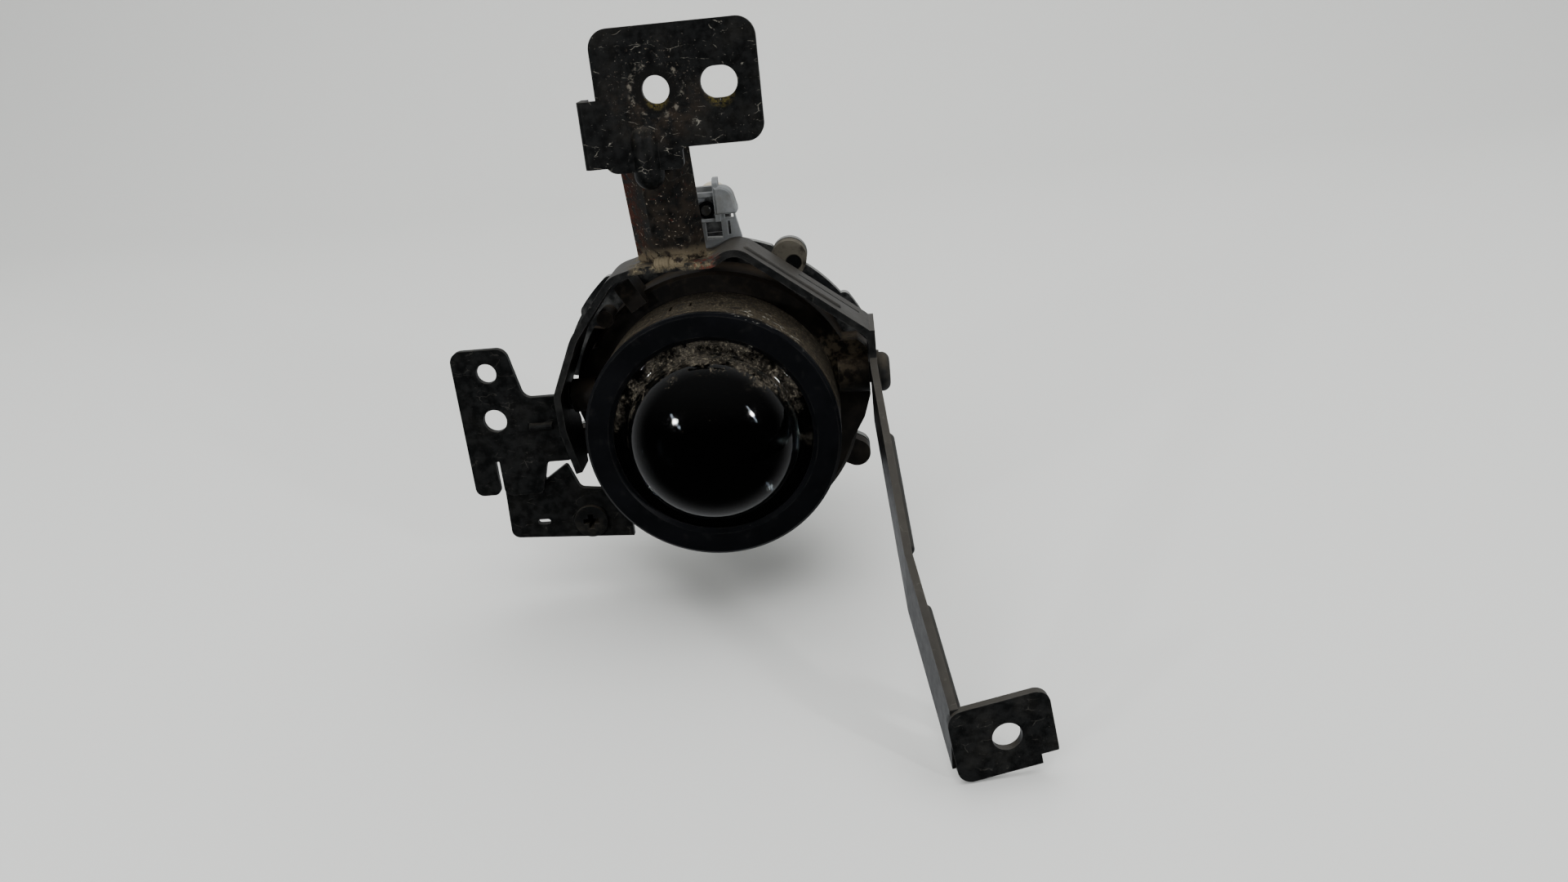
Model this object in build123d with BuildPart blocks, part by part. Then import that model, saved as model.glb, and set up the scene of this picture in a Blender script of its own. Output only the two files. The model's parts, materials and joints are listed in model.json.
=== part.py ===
"""Projector fog light on its pressed steel mounting bracket.

Millimetres.  The origin is the centre of the lamp rim's front face, on the optical axis.
The beam leaves along -Y, +X is to the right as seen from the front, and +Z is up.
The lamp tilts in the bracket on two side pivots, moved by an aim screw above it.
"""
import os
from math import cos, radians, sin

from build123d import *

os.makedirs("parts", exist_ok=True)

# ---- driving dimensions ----------------------------------------------------------------
SHEET = 2.0  # gauge of every bracket pressing

RIM_R = 36.0  # lens rim, outer
RIM_OPENING_R = 28.15
RIM_DEPTH = 2.5
SKIRT_R = 35.8
SKIRT_WALL = 2.4
SKIRT_END = 24.0

DOME_R = 24.3  # lens dome, at its base
DOME_RISE = 16.0
DOME_BASE = 1.0
LENS_STEP_R = 28.0  # stepped flange of the lens
LENS_STEP_Y = 2.2
LENS_R = 30.6
LENS_BACK = 5.6
LENS_FREE = 0.2  # radial room around the lens in the rim
GASKET = 1.4
THROAT_R = 25.6  # clear opening of the lens seat behind the lens

CUP_R = 41.5  # lens holder cup, outer
CUP_WALL = 2.3
CUP_FRONT = 25.0
CUP_FLOOR = 27.4  # inner face of the cup's front wall
TUBE_R = 33.2  # lens holder tube, outer
SPLIT = 38.0  # joint plane between the lens holder and the lamp housing
SEAL = 0.8

BAND_FRONT = 12.0  # bracket band, its front and rear edges
BAND_REAR = 30.0
LEG_INNER_X = 45.2  # right leg of the band, inner face
LEFT_FLAT_X = -46.2  # left leg of the band, outer face

PIVOT_Y = 24.0
PIVOT_Z = 8.0
PIVOT_R = 3.0
RUNNING = 0.08  # radial clearance of a running fit

AIM_X = 2.2  # aim screw axis, parallel to Y
AIM_Z = 58.5
AIM_R = 2.0
AIM_JOURNAL_R = 1.4

UPPER_HOLE_R = 3.5
SIDE_UPPER_HOLE_R = 3.0
SIDE_LOWER_HOLE_R = 3.5
FOOT_HOLE_R = 3.5

EAR_PLACES = [(48.0, 60, 5.2), (46.0, 193, 4.2), (44.5, 332, 4.2)]  # radius, angle, ear radius
EAR_FRONT = 33.5
EAR_SCREW_R = 1.7


# ---- small helpers ---------------------------------------------------------------------
def facing(depth):
    """A plane across the beam at one depth: local x is X, local y is Z, normal is -Y."""
    return Plane.XZ.offset(-depth)


def face_of(plane, corners):
    """A flat face from its corners: (x, y) when sharp, or (x, y, radius) when rounded."""
    points = [corner[:2] for corner in corners]
    radii = [corner[2] if len(corner) > 2 else 0 for corner in corners]
    with BuildSketch(plane) as flat:
        with BuildLine():
            FilletPolyline(*points, radius=radii, close=True)
        make_face()
    return flat.sketch


def disc(plane, radius, at=(0, 0)):
    """A round face on a plane."""
    with BuildSketch(plane) as flat:
        with Locations(at):
            Circle(radius)
    return flat.sketch


def ring(plane, outer, inner, at=(0, 0)):
    """A flat ring on a plane."""
    with BuildSketch(plane) as flat:
        with Locations(at):
            Circle(outer)
            Circle(inner, mode=Mode.SUBTRACT)
    return flat.sketch


def polar(radius, degrees):
    """X and Z of a point at a radius and an angle from +X towards +Z."""
    return (radius * cos(radians(degrees)), radius * sin(radians(degrees)))


# ======================================================================================
# Bracket
# ======================================================================================

# ---- arm: one strip from the right leg, forward and down to the foot ---------------------
ARM_PLAN = [(LEG_INNER_X, BAND_REAR), (LEG_INNER_X, 10), (49.9, -45), (56.8, -82)]
ARM_END_Y = -82.0
ARM_SIDE = [
    (BAND_REAR, 24),
    (BAND_FRONT, 24),
    (BAND_FRONT, 16),
    (ARM_END_Y, -38),
    (ARM_END_Y, -53.6),
    (14.5, 0.4),
    (26, 0.4, 5),
    (BAND_REAR, 6, 3),
]

with BuildPart() as arm_strip:
    with BuildSketch(Plane.XY.offset(-62)):
        with BuildLine():
            FilletPolyline(*ARM_PLAN, radius=10)
            offset(amount=SHEET, side=Side.LEFT)
        make_face()
    extrude(amount=90)
    extrude(face_of(Plane.YZ.offset(40), ARM_SIDE), amount=30, mode=Mode.INTERSECT)

# ---- foot: the end of the strip, bent outwards, with one bolt hole ----------------------
FOOT_CORNER = (56.8, ARM_END_Y + 1, -48.0)
FOOT_PLANE = Plane(FOOT_CORNER, x_dir=(1, 0, 0), z_dir=(0, -1, 0)).rotated((0, -8, 8.5))
FOOT_LENGTH = 23.8
FOOT_HEIGHT = 19.0

with BuildPart() as foot_tab:
    with BuildSketch(FOOT_PLANE):
        with Locations((FOOT_LENGTH / 2, 0)):
            RectangleRounded(FOOT_LENGTH, FOOT_HEIGHT, 3.5)
        with Locations((FOOT_LENGTH - 1.2, -FOOT_HEIGHT / 2)):
            Rectangle(6, 5, mode=Mode.SUBTRACT)
    extrude(amount=SHEET)
    with Locations(FOOT_PLANE.offset(SHEET) * Location((12.7, 0, 0))):
        Hole(FOOT_HOLE_R)

# ---- band: the arch around the lamp, in one pressing with the leg, arm and foot --------
BAND_PATH = [
    (-43.4, -12.5),
    (LEFT_FLAT_X, 1),
    (LEFT_FLAT_X, 12),
    (-38.7, 28.5),
    (-25.5, 45.0),
    (-17.0, 47.3),
    (3.4, 47.3),
    (10.5, 51.3),
    (LEG_INNER_X + SHEET, 23.0),
    (LEG_INNER_X + SHEET, 10.0),
]
BAND_RADII = [8, 8, 14, 9, 4, 3, 7, 6]
BAND_TOP = 47.3  # height of the flat top that carries the column
BEAD_R = 1.75
GROOVE_START = (27.0, 24.6, 38.9)  # on the outer face of the right-hand slope
GROOVE_END = (43.4, 24.6, 26.3)
GROOVE_R = 0.7
RIDGE_START = (13.3, 16.8, 48.3)  # axis of the ridge along the same slope, just under its face
RIDGE_END = (37.0, 16.8, 30.0)
RIDGE_R = 1.3

with BuildPart() as bracket_band:
    with BuildSketch(facing(BAND_FRONT)):
        with BuildLine():
            FilletPolyline(*BAND_PATH, radius=BAND_RADII)
            offset(amount=SHEET, side=Side.RIGHT)
        make_face()
    extrude(amount=-(BAND_REAR - BAND_FRONT))
    tip_trim = face_of(Plane.YZ.offset(-60), [(31, 0), (31, -16), (18, -16)])
    extrude(tip_trim, amount=30, mode=Mode.SUBTRACT)
    add(arm_strip.part)
    add(foot_tab.part)
    # stiffening beads pressed outwards along the strip, before and after its bend
    for bead_start, bead_end, lift in (
        ((48.9, -5.5, -2.0), (51.5, -36.5, -20.0), 0.0),
        ((53.6, -52.0, -29.5), (58.5, -77.5, -45.0), 0.7),
    ):
        run = Vector(*bead_end) - Vector(*bead_start)
        bead_plane = Plane(origin=Vector(*bead_start) + Vector(lift - 0.35, 0, 0), z_dir=run)
        extrude(disc(bead_plane, BEAD_R), amount=run.length)
        with Locations(bead_plane.origin, bead_plane.origin + run):
            Sphere(BEAD_R)
    # a low ridge along the right-hand slope, and a short groove near its rear edge
    ridge_run = Vector(*RIDGE_END) - Vector(*RIDGE_START)
    extrude(disc(Plane(origin=RIDGE_START, z_dir=ridge_run), RIDGE_R), amount=ridge_run.length)
    with Locations(RIDGE_START, RIDGE_END):
        Sphere(RIDGE_R)
    groove_run = Vector(*GROOVE_END) - Vector(*GROOVE_START)
    groove_plane = Plane(origin=GROOVE_START, z_dir=groove_run)
    extrude(disc(groove_plane, GROOVE_R), amount=groove_run.length, mode=Mode.SUBTRACT)
    # the two pivot holes
    extrude(disc(Plane.YZ.offset(LEG_INNER_X - 1), PIVOT_R, (PIVOT_Y, PIVOT_Z)), amount=4,
            mode=Mode.SUBTRACT)
    extrude(disc(Plane.YZ.offset(LEFT_FLAT_X - 1), PIVOT_R + 1, (PIVOT_Y, PIVOT_Z)), amount=4,
            mode=Mode.SUBTRACT)
bracket_band.part.label = "bracket_band"
export_step(bracket_band.part, "parts/bracket_band.step")

# ---- upper plate: two bolt holes, a side lug bent back and a bead over the bottom bend ----
PLATE_BEAD_X = -8.0
PLATE_BEAD_R = 4.0
PLATE_BEAD_RISE = 1.8
LUG_Z = (76, 93)

with BuildPart() as upper_plate:
    plate_face = face_of(
        facing(0),
        [
            (-19, 74.5, 3.5),
            (-19, 110, 5),
            (23, 110, 5),
            (23, 79.8, 4.5),
            (1.5, 79.8, 1),
            (1.5, 74.5, 1.5),
        ],
    )
    extrude(plate_face, amount=-SHEET)
    # side lug: a short tongue to the left, turned back at its end
    lug_face = face_of(
        Plane.XY.offset(LUG_Z[0]),
        [(-18, 0), (-24.3, 0, 1.8), (-24.3, 8), (-22.3, 8), (-22.3, SHEET), (-18, SHEET)],
    )
    extrude(lug_face, amount=LUG_Z[1] - LUG_Z[0])
    # half-round bead over the bottom edge, flush with the sheet behind
    bead_y = PLATE_BEAD_R - PLATE_BEAD_RISE
    with Locations((PLATE_BEAD_X, bead_y, 78.0)):
        Cylinder(PLATE_BEAD_R, 9.0)
    with Locations((PLATE_BEAD_X, bead_y, 82.5), (PLATE_BEAD_X, bead_y, 73.5)):
        Sphere(PLATE_BEAD_R)
    with Locations((PLATE_BEAD_X, SHEET + 5, 78)):
        Box(12, 10, 30, mode=Mode.SUBTRACT)
    extrude(disc(facing(-5), UPPER_HOLE_R, (-3.4, 94.4)), amount=-10, mode=Mode.SUBTRACT)
    with BuildSketch(facing(-5)):
        with Locations((12.7, 94.9)):
            SlotOverall(9.4, 7.8)
    extrude(amount=-10, mode=Mode.SUBTRACT)
upper_plate.part.label = "upper_plate"
export_step(upper_plate.part, "parts/upper_plate.step")

# ---- column: a channel from the band's flat top up to the back of the upper plate --------
COLUMN_TOP = 84.0
COLUMN_TOP_Y = SHEET
COLUMN_LEAN = 0.33  # backward travel for each millimetre down
COLUMN_PLAN = [(-17.6, 6.5), (-11.2, 0), (-3.2, 0), (2.3, 5.0)]
COLUMN_HEIGHT = COLUMN_TOP - BAND_TOP
COLUMN_FOOT_Y = COLUMN_TOP_Y + COLUMN_HEIGHT * COLUMN_LEAN

with BuildPart() as bracket_column:
    with BuildSketch(Plane.XY.offset(COLUMN_TOP)):
        with BuildLine():
            Polyline(*[(x, y + COLUMN_TOP_Y) for x, y in COLUMN_PLAN])
            offset(amount=SHEET, side=Side.LEFT)
        make_face()
    lean = Vector(0, COLUMN_LEAN, -1)
    extrude(amount=COLUMN_HEIGHT * lean.length, dir=lean)
bracket_column.part.label = "bracket_column"
export_step(bracket_column.part, "parts/bracket_column.step")

# ---- welds along the foot of the column -------------------------------------------------
with BuildPart() as column_welds:
    bead_side = [
        (COLUMN_FOOT_Y, BAND_TOP),
        (COLUMN_FOOT_Y - 2.6, BAND_TOP),
        (COLUMN_FOOT_Y - 2.4 * COLUMN_LEAN, BAND_TOP + 2.4),
    ]
    extrude(face_of(Plane.YZ.offset(-11), bead_side), amount=3.4)
    extrude(face_of(Plane.YZ.offset(-6.8), bead_side), amount=3.4)
column_welds.part.label = "column_welds"
export_step(column_welds.part, "parts/column_welds.step")

# ---- side plate: two bolt holes, a neck to the band and a tongue for the lower tab --------
SIDE_Y = 20.0
SIDE_HOLE_X = -67.2

with BuildPart() as side_plate:
    side_face = face_of(
        facing(SIDE_Y),
        [
            (-77.3, -20.8, 2.5),
            (-77.3, 25.2, 3.6),
            (-60.6, 25.2, 3.6),
            (-57.4, 9.6, 3.0),
            (LEFT_FLAT_X, 9.6),
            (LEFT_FLAT_X, 1.0),
            (-44.05, -9.5),
            (-47.0, -11.1),
            (-53.8, -11.1, 1.5),
            (-56.6, -21.2, 2.0),
            (-68.4, -21.2, 2.4),
            (-68.4, -10.0),
            (-69.6, -10.0),
            (-69.6, -20.8, 2.0),
        ],
    )
    extrude(side_face, amount=-SHEET)
    extrude(disc(facing(SIDE_Y - 3), SIDE_UPPER_HOLE_R, (SIDE_HOLE_X, 17.9)), amount=-8,
            mode=Mode.SUBTRACT)
    extrude(disc(facing(SIDE_Y - 3), SIDE_LOWER_HOLE_R, (SIDE_HOLE_X, 3.1)), amount=-8,
            mode=Mode.SUBTRACT)
    # short pressed gusset across the neck
    with Locations((-53.5, SIDE_Y, 0.4)):
        Cylinder(1.2, 7.0, rotation=(0, 90, 0))
side_plate.part.label = "side_plate"
export_step(side_plate.part, "parts/side_plate.step")

# ---- lower tab: spot-welded behind the tongue, with a hole for the screw grommet ----------
TAB_Y = SIDE_Y + SHEET
GROMMET_AT = (-43.6, -32.0)
GROMMET_HOLE_R = 3.6

with BuildPart() as lower_tab:
    tab_face = face_of(
        facing(TAB_Y),
        [
            (-68.8, -17.5),
            (-55.5, -17.5),
            (-48.6, -12.9, 0.8),
            (-45.6, -21.2, 2.0),
            (-36.5, -22.3),
            (-31.2, -29.5),
            (-31.2, -38.3),
            (-69.4, -36.3, 2.5),
        ],
    )
    extrude(tab_face, amount=-SHEET)
    extrude(disc(facing(TAB_Y - 2), GROMMET_HOLE_R, GROMMET_AT), amount=-6, mode=Mode.SUBTRACT)
    with BuildSketch(facing(TAB_Y - 2)):
        with Locations((-58.6, -31.6)):
            SlotOverall(4.0, 1.6)
    extrude(amount=-6, mode=Mode.SUBTRACT)
lower_tab.part.label = "lower_tab"
export_step(lower_tab.part, "parts/lower_tab.step")

# ---- screw grommet: a push-in plastic nut with a cross-shaped opening --------------------
with BuildPart() as screw_grommet:
    extrude(disc(facing(TAB_Y - 1.5), 5.2, GROMMET_AT), amount=-1.5)
    extrude(disc(facing(TAB_Y), GROMMET_HOLE_R, GROMMET_AT), amount=-7)
    with BuildSketch(facing(TAB_Y - 2)):
        with Locations(GROMMET_AT):
            Rectangle(4.6, 1.5)
            Rectangle(1.5, 4.6)
    extrude(amount=-7, mode=Mode.SUBTRACT)
screw_grommet.part.label = "screw_grommet"
export_step(screw_grommet.part, "parts/screw_grommet.step")

# ---- adjuster holder: moulded stand on the band's rear edge that carries the aim screw -----
JOURNAL_R = AIM_JOURNAL_R + 0.2
HOLDER_TOP = 64.8
HOLDER_FIN = (4.7, 6.2)  # X of the upright fin
HOLDER_BAR = (55.2, 56.3)  # Z of the cross bar

with BuildPart() as adjuster_holder:
    back_plate = face_of(
        facing(BAND_REAR),
        [
            (-2.4, 45.6),
            (-2.4, HOLDER_TOP, 1.5),
            (9.6, HOLDER_TOP, 3.6),
            (11.0, 58.6),
            (11.0, 57.2, 0.6),
            (9.9, 56.9),
            (11.4, 49.6),
            (8.0, 48.4),
            (4.0, 45.6),
        ],
    )
    extrude(back_plate, amount=-SHEET)
    # hollow cap on the right, with a rounded shoulder
    cap_face = face_of(
        facing(26.4),
        [(5.0, 57.2), (5.0, HOLDER_TOP), (9.6, HOLDER_TOP, 3.6), (11.0, 58.6), (11.0, 57.2, 0.6)],
    )
    extrude(cap_face, amount=-(BAND_REAR - 26.4))
    front_rim = adjuster_holder.faces().sort_by(Axis.Y)[0].edges()
    chamfer(front_rim, 0.5)
    # fin between the cap and the screw, standing proud at the top
    fin_outline = face_of(
        Plane.YZ.offset(HOLDER_FIN[0]),
        [(27.0, HOLDER_BAR[0]), (27.0, 66.0, 1.0), (28.6, 67.2, 0.6), (31.8, 67.2, 0.6),
         (31.8, HOLDER_BAR[0])],
    )
    extrude(fin_outline, amount=HOLDER_FIN[1] - HOLDER_FIN[0])
    # left wall, top bridge and cross bar that frame the end of the screw
    for low, high in (
        ((-2.4, HOLDER_BAR[0]), (-0.8, 63.4)),
        ((-2.4, 62.2), (HOLDER_FIN[0], 63.4)),
        ((-2.4, HOLDER_BAR[0]), (HOLDER_FIN[0], HOLDER_BAR[1] - 0.3)),
    ):
        with BuildSketch(facing(28.0)):
            with Locations(((low[0] + high[0]) / 2, (low[1] + high[1]) / 2)):
                Rectangle(high[0] - low[0], high[1] - low[1])
        extrude(amount=-2.0)
    # windows under the bar and under the cap
    with BuildSketch(facing(BAND_REAR - 1)):
        with Locations((3.6, 52.2)):
            Rectangle(4.6, 5.0)
        with Locations((8.3, 56.1)):
            Rectangle(2.6, 1.4)
        with Locations((8.0, 52.6)):
            Rectangle(0.9, 4.2)
    extrude(amount=-4.0, mode=Mode.SUBTRACT)
    extrude(disc(facing(BAND_REAR - 3), JOURNAL_R, (AIM_X, AIM_Z)), amount=-6,
            mode=Mode.SUBTRACT)
adjuster_holder.part.label = "adjuster_holder"
export_step(adjuster_holder.part, "parts/adjuster_holder.step")

# ---- right pivot: a domed screw and its washer, clamped through the leg -------------------
LEG_OUTER_X = LEG_INNER_X + SHEET
WASHER = 0.8
PIVOT_DEEP_X = 38.6

with BuildPart() as right_pivot_washer:
    extrude(ring(Plane.YZ.offset(LEG_OUTER_X), 6.4, PIVOT_R, (PIVOT_Y, PIVOT_Z)), amount=WASHER)
right_pivot_washer.part.label = "right_pivot_washer"
export_step(right_pivot_washer.part, "parts/right_pivot_washer.step")

with BuildPart() as right_pivot_screw:
    extrude(disc(Plane.YZ.offset(PIVOT_DEEP_X), PIVOT_R, (PIVOT_Y, PIVOT_Z)),
            amount=LEG_OUTER_X + WASHER - PIVOT_DEEP_X)
    extrude(disc(Plane.YZ.offset(LEG_OUTER_X + WASHER), 5.75, (PIVOT_Y, PIVOT_Z)), amount=2.9)
    dome_edge = right_pivot_screw.edges().filter_by(GeomType.CIRCLE).sort_by(Axis.X)[-1]
    fillet(dome_edge, 2.4)
    with BuildSketch(Plane.YZ.offset(LEG_OUTER_X + WASHER + 1.2)):
        with Locations((PIVOT_Y, PIVOT_Z)):
            RegularPolygon(2.3, 6, major_radius=False)
    extrude(amount=4, mode=Mode.SUBTRACT)
right_pivot_screw.part.label = "right_pivot_screw"
export_step(right_pivot_screw.part, "parts/right_pivot_screw.step")

# ---- left pivot bush: a plastic sleeve pressed into the band -----------------------------
with BuildPart() as left_pivot_bush:
    extrude(ring(Plane.YZ.offset(LEFT_FLAT_X), PIVOT_R + 1, PIVOT_R + RUNNING,
                 (PIVOT_Y, PIVOT_Z)), amount=SHEET + 0.6)
left_pivot_bush.part.label = "left_pivot_bush"
export_step(left_pivot_bush.part, "parts/left_pivot_bush.step")

# ======================================================================================
# Lamp
# ======================================================================================

# ---- lens rim: the black front ring with its skirt and three snap tongues -----------------
SNAP_ANGLES = [100, 220, 340]
SNAP_Y = 13.2
SNAP_LENGTH = 5.6
SNAP_WIDTH = 6.8
SNAP_CUT = 0.9  # width of the U-shaped cut that frees each tongue
SKIRT_INNER_R = SKIRT_R - SKIRT_WALL

with BuildPart() as lens_rim:
    rim_profile = face_of(
        Plane.XY,
        [
            (RIM_OPENING_R, 1.1),
            (29.4, 0),
            (35.2, 0),
            (RIM_R, 0.8),
            (RIM_R, RIM_DEPTH),
            (SKIRT_R, RIM_DEPTH + 0.4),
            (SKIRT_R, SKIRT_END),
            (SKIRT_INNER_R, SKIRT_END),
            (SKIRT_INNER_R, LENS_BACK + GASKET),
            (LENS_R + LENS_FREE, LENS_BACK + GASKET),
            (LENS_R + LENS_FREE, LENS_STEP_Y),
            (RIM_OPENING_R, LENS_STEP_Y),
        ],
    )
    revolve(rim_profile, axis=Axis.Y)
    for angle in SNAP_ANGLES:
        out = (cos(radians(angle)), 0, sin(radians(angle)))
        skirt_plane = Plane(origin=(30 * out[0], SNAP_Y, 30 * out[2]), x_dir=(0, 1, 0), z_dir=out)
        with BuildSketch(skirt_plane):
            Rectangle(SNAP_LENGTH, SNAP_WIDTH)
            with Locations((-SNAP_CUT, 0)):
                Rectangle(SNAP_LENGTH, SNAP_WIDTH - 2 * SNAP_CUT, mode=Mode.SUBTRACT)
        extrude(amount=6, mode=Mode.SUBTRACT)
lens_rim.part.label = "lens_rim"
export_step(lens_rim.part, "parts/lens_rim.step")

# ---- projector lens: half an ellipsoid on a stepped flange, flat behind -------------------
with BuildPart() as projector_lens:
    with BuildSketch(Plane.XY):
        with BuildLine():
            EllipticalCenterArc((0, DOME_BASE), DOME_R, DOME_RISE, start_angle=270, arc_size=90)
            Polyline((DOME_R, DOME_BASE), (LENS_STEP_R, DOME_BASE), (LENS_STEP_R, LENS_STEP_Y),
                     (LENS_R, LENS_STEP_Y), (LENS_R, LENS_BACK), (0, LENS_BACK),
                     (0, DOME_BASE - DOME_RISE))
        make_face()
    revolve(axis=Axis.Y)
projector_lens.part.label = "projector_lens"
export_step(projector_lens.part, "parts/projector_lens.step")

# ---- lens gasket ------------------------------------------------------------------------
with BuildPart() as lens_gasket:
    extrude(ring(facing(LENS_BACK), LENS_R, THROAT_R), amount=-GASKET)
lens_gasket.part.label = "lens_gasket"
export_step(lens_gasket.part, "parts/lens_gasket.step")

# ---- lens holder: tube, cup, pivot bosses and the front halves of the screw ears ---------
WING_Y = 34.0
SEAT_BACK = 9.2  # rear face of the wall that carries the lens seat
BOSS_ROOT_X = 35.9  # where both pivot bosses meet the cup
BOSS_R = 5.5
BOSS_END_X = 44.8
LEFT_BOSS_END_X = -42.9
PIN_DEPTH = 4.1  # how far the left pin is pressed into its boss

with BuildPart() as lens_holder:
    right_wing = face_of(
        facing(CUP_FRONT),
        [(36, 18), (42, 18), (BOSS_END_X, 15), (BOSS_END_X, 1), (42.6, -6), (38.5, -13),
         (34.5, -13), (34.5, 10)],
    )
    left_wing = face_of(
        facing(CUP_FRONT),
        [(-34, 22), (-36, 21.5), (-41.6, 11.5), (-42.4, 8), (-42.4, 2), (-40, -6), (-36, -6),
         (-36, 10)],
    )
    extrude(right_wing, amount=-(WING_Y - CUP_FRONT))
    extrude(left_wing, amount=-(WING_Y - CUP_FRONT))
    extrude(disc(Plane.YZ.offset(BOSS_ROOT_X), BOSS_R, (PIVOT_Y, PIVOT_Z)),
            amount=BOSS_END_X - BOSS_ROOT_X)
    extrude(disc(Plane.YZ.offset(LEFT_BOSS_END_X), BOSS_R - 0.5, (PIVOT_Y, PIVOT_Z)),
            amount=-BOSS_ROOT_X - LEFT_BOSS_END_X)
    # stop lug and round peg on the upper left, and a curved fence down to the left pivot
    with BuildSketch(facing(21.0)):
        with Locations(Location(Vector(*polar(43.2, 120), 0), 120)):
            Rectangle(8.6, 5.4)
    extrude(amount=-10.0)
    extrude(disc(facing(23.5), 2.5, polar(43.0, 135)), amount=-8.0)
    with BuildSketch(facing(31.6)):
        with BuildLine():
            fence = CenterArc((0, 0), 44.4, 144, 30)
            Polyline(fence @ 1, (-39, 4.2), (-39, 12), (-32.5, 25.5), fence @ 0)
        make_face()
    extrude(amount=-(WING_Y - 31.6))
    for ear_radius, ear_angle, ear_r in EAR_PLACES:
        with BuildSketch(facing(EAR_FRONT)):
            with Locations(polar(ear_radius, ear_angle)):
                Circle(ear_r)
            with Locations(Location(Vector(*polar(ear_radius - 5, ear_angle), 0), ear_angle)):
                Rectangle(10, 2 * ear_r)
        extrude(amount=-(SPLIT - EAR_FRONT))
    extrude(disc(facing(CUP_FLOOR), CUP_R - CUP_WALL), amount=-(SPLIT + 1 - CUP_FLOOR),
            mode=Mode.SUBTRACT)
    cup_profile = face_of(
        Plane.XY,
        [
            (THROAT_R, LENS_BACK + GASKET),
            (TUBE_R, LENS_BACK + GASKET),
            (TUBE_R, CUP_FRONT),
            (CUP_R - 1, CUP_FRONT),
            (CUP_R, CUP_FRONT + 1),
            (CUP_R, SPLIT),
            (CUP_R - CUP_WALL, SPLIT),
            (CUP_R - CUP_WALL, CUP_FLOOR),
            (LENS_R, CUP_FLOOR),
            (LENS_R, SEAT_BACK),
            (THROAT_R, SEAT_BACK),
        ],
    )
    revolve(cup_profile, axis=Axis.Y)
    for ear_radius, ear_angle, ear_r in EAR_PLACES:
        extrude(disc(facing(SPLIT + 1), EAR_SCREW_R, polar(ear_radius, ear_angle)), amount=4.4,
                mode=Mode.SUBTRACT)
    extrude(disc(Plane.YZ.offset(BOSS_END_X + 1), PIVOT_R + RUNNING, (PIVOT_Y, PIVOT_Z)),
            amount=-(BOSS_END_X + 1 - PIVOT_DEEP_X + 0.6), mode=Mode.SUBTRACT)
    extrude(disc(Plane.YZ.offset(LEFT_BOSS_END_X - 1), PIVOT_R, (PIVOT_Y, PIVOT_Z)),
            amount=PIN_DEPTH + 1, mode=Mode.SUBTRACT)
lens_holder.part.label = "lens_holder"
export_step(lens_holder.part, "parts/lens_holder.step")

# ---- left pivot pin: steel, pressed into the lens holder and turning in the bush ----------
with BuildPart() as left_pivot_pin:
    extrude(disc(Plane.YZ.offset(LEFT_FLAT_X + 0.3), PIVOT_R, (PIVOT_Y, PIVOT_Z)),
            amount=LEFT_BOSS_END_X + PIN_DEPTH - LEFT_FLAT_X - 0.3)
left_pivot_pin.part.label = "left_pivot_pin"
export_step(left_pivot_pin.part, "parts/left_pivot_pin.step")

# ---- housing seal -----------------------------------------------------------------------
with BuildPart() as housing_seal:
    extrude(ring(facing(SPLIT), CUP_R, CUP_R - CUP_WALL), amount=-SEAL)
housing_seal.part.label = "housing_seal"
export_step(housing_seal.part, "parts/housing_seal.step")

# ---- lamp housing: ribbed rear bowl, screw ears, adjuster fork, bulb neck and vent spigot --
HOUSING_FRONT = SPLIT + SEAL
FLANGE = 2.8
NECK_R = 17.0
NECK_END = 88.0
BULB_BORE_R = 11.2
LUG_GROOVE_R = 13.0
LUG_GROOVE = (82.0, 85.0)
LUG_ANGLES = [90, 210, 330]
UNLOCK_DEG = 40
BOWL_OUTSIDE = [(39.2, 38.8), (39.0, 46), (37.4, 50), (33.5, 60), (25, 72), (18, 79.5)]
FORK_Y = (44.0, 48.0)
FORK_HALF = 4.9
FORK_SLOT_HALF = 3.1
FORK_TOP = 61.6
FORK_SLOT_LOW = 53.4
FLANGE_LOBES = [  # radius, first and last angle, corner radius
    (47.3, 2, 24, 1.0),
    (49.3, 20, 37, 2.0),
    (47.7, 30, 56, 1.0),
    (48.5, 66, 96, 1.0),
    (45.5, 90, 130, 1.0),
    (50.7, 126, 146, 3.0),
    (49.8, 142, 168, 1.0),
]
VENT_AT = (-16.0, 20.0)
VENT_R = 4.0

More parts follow.
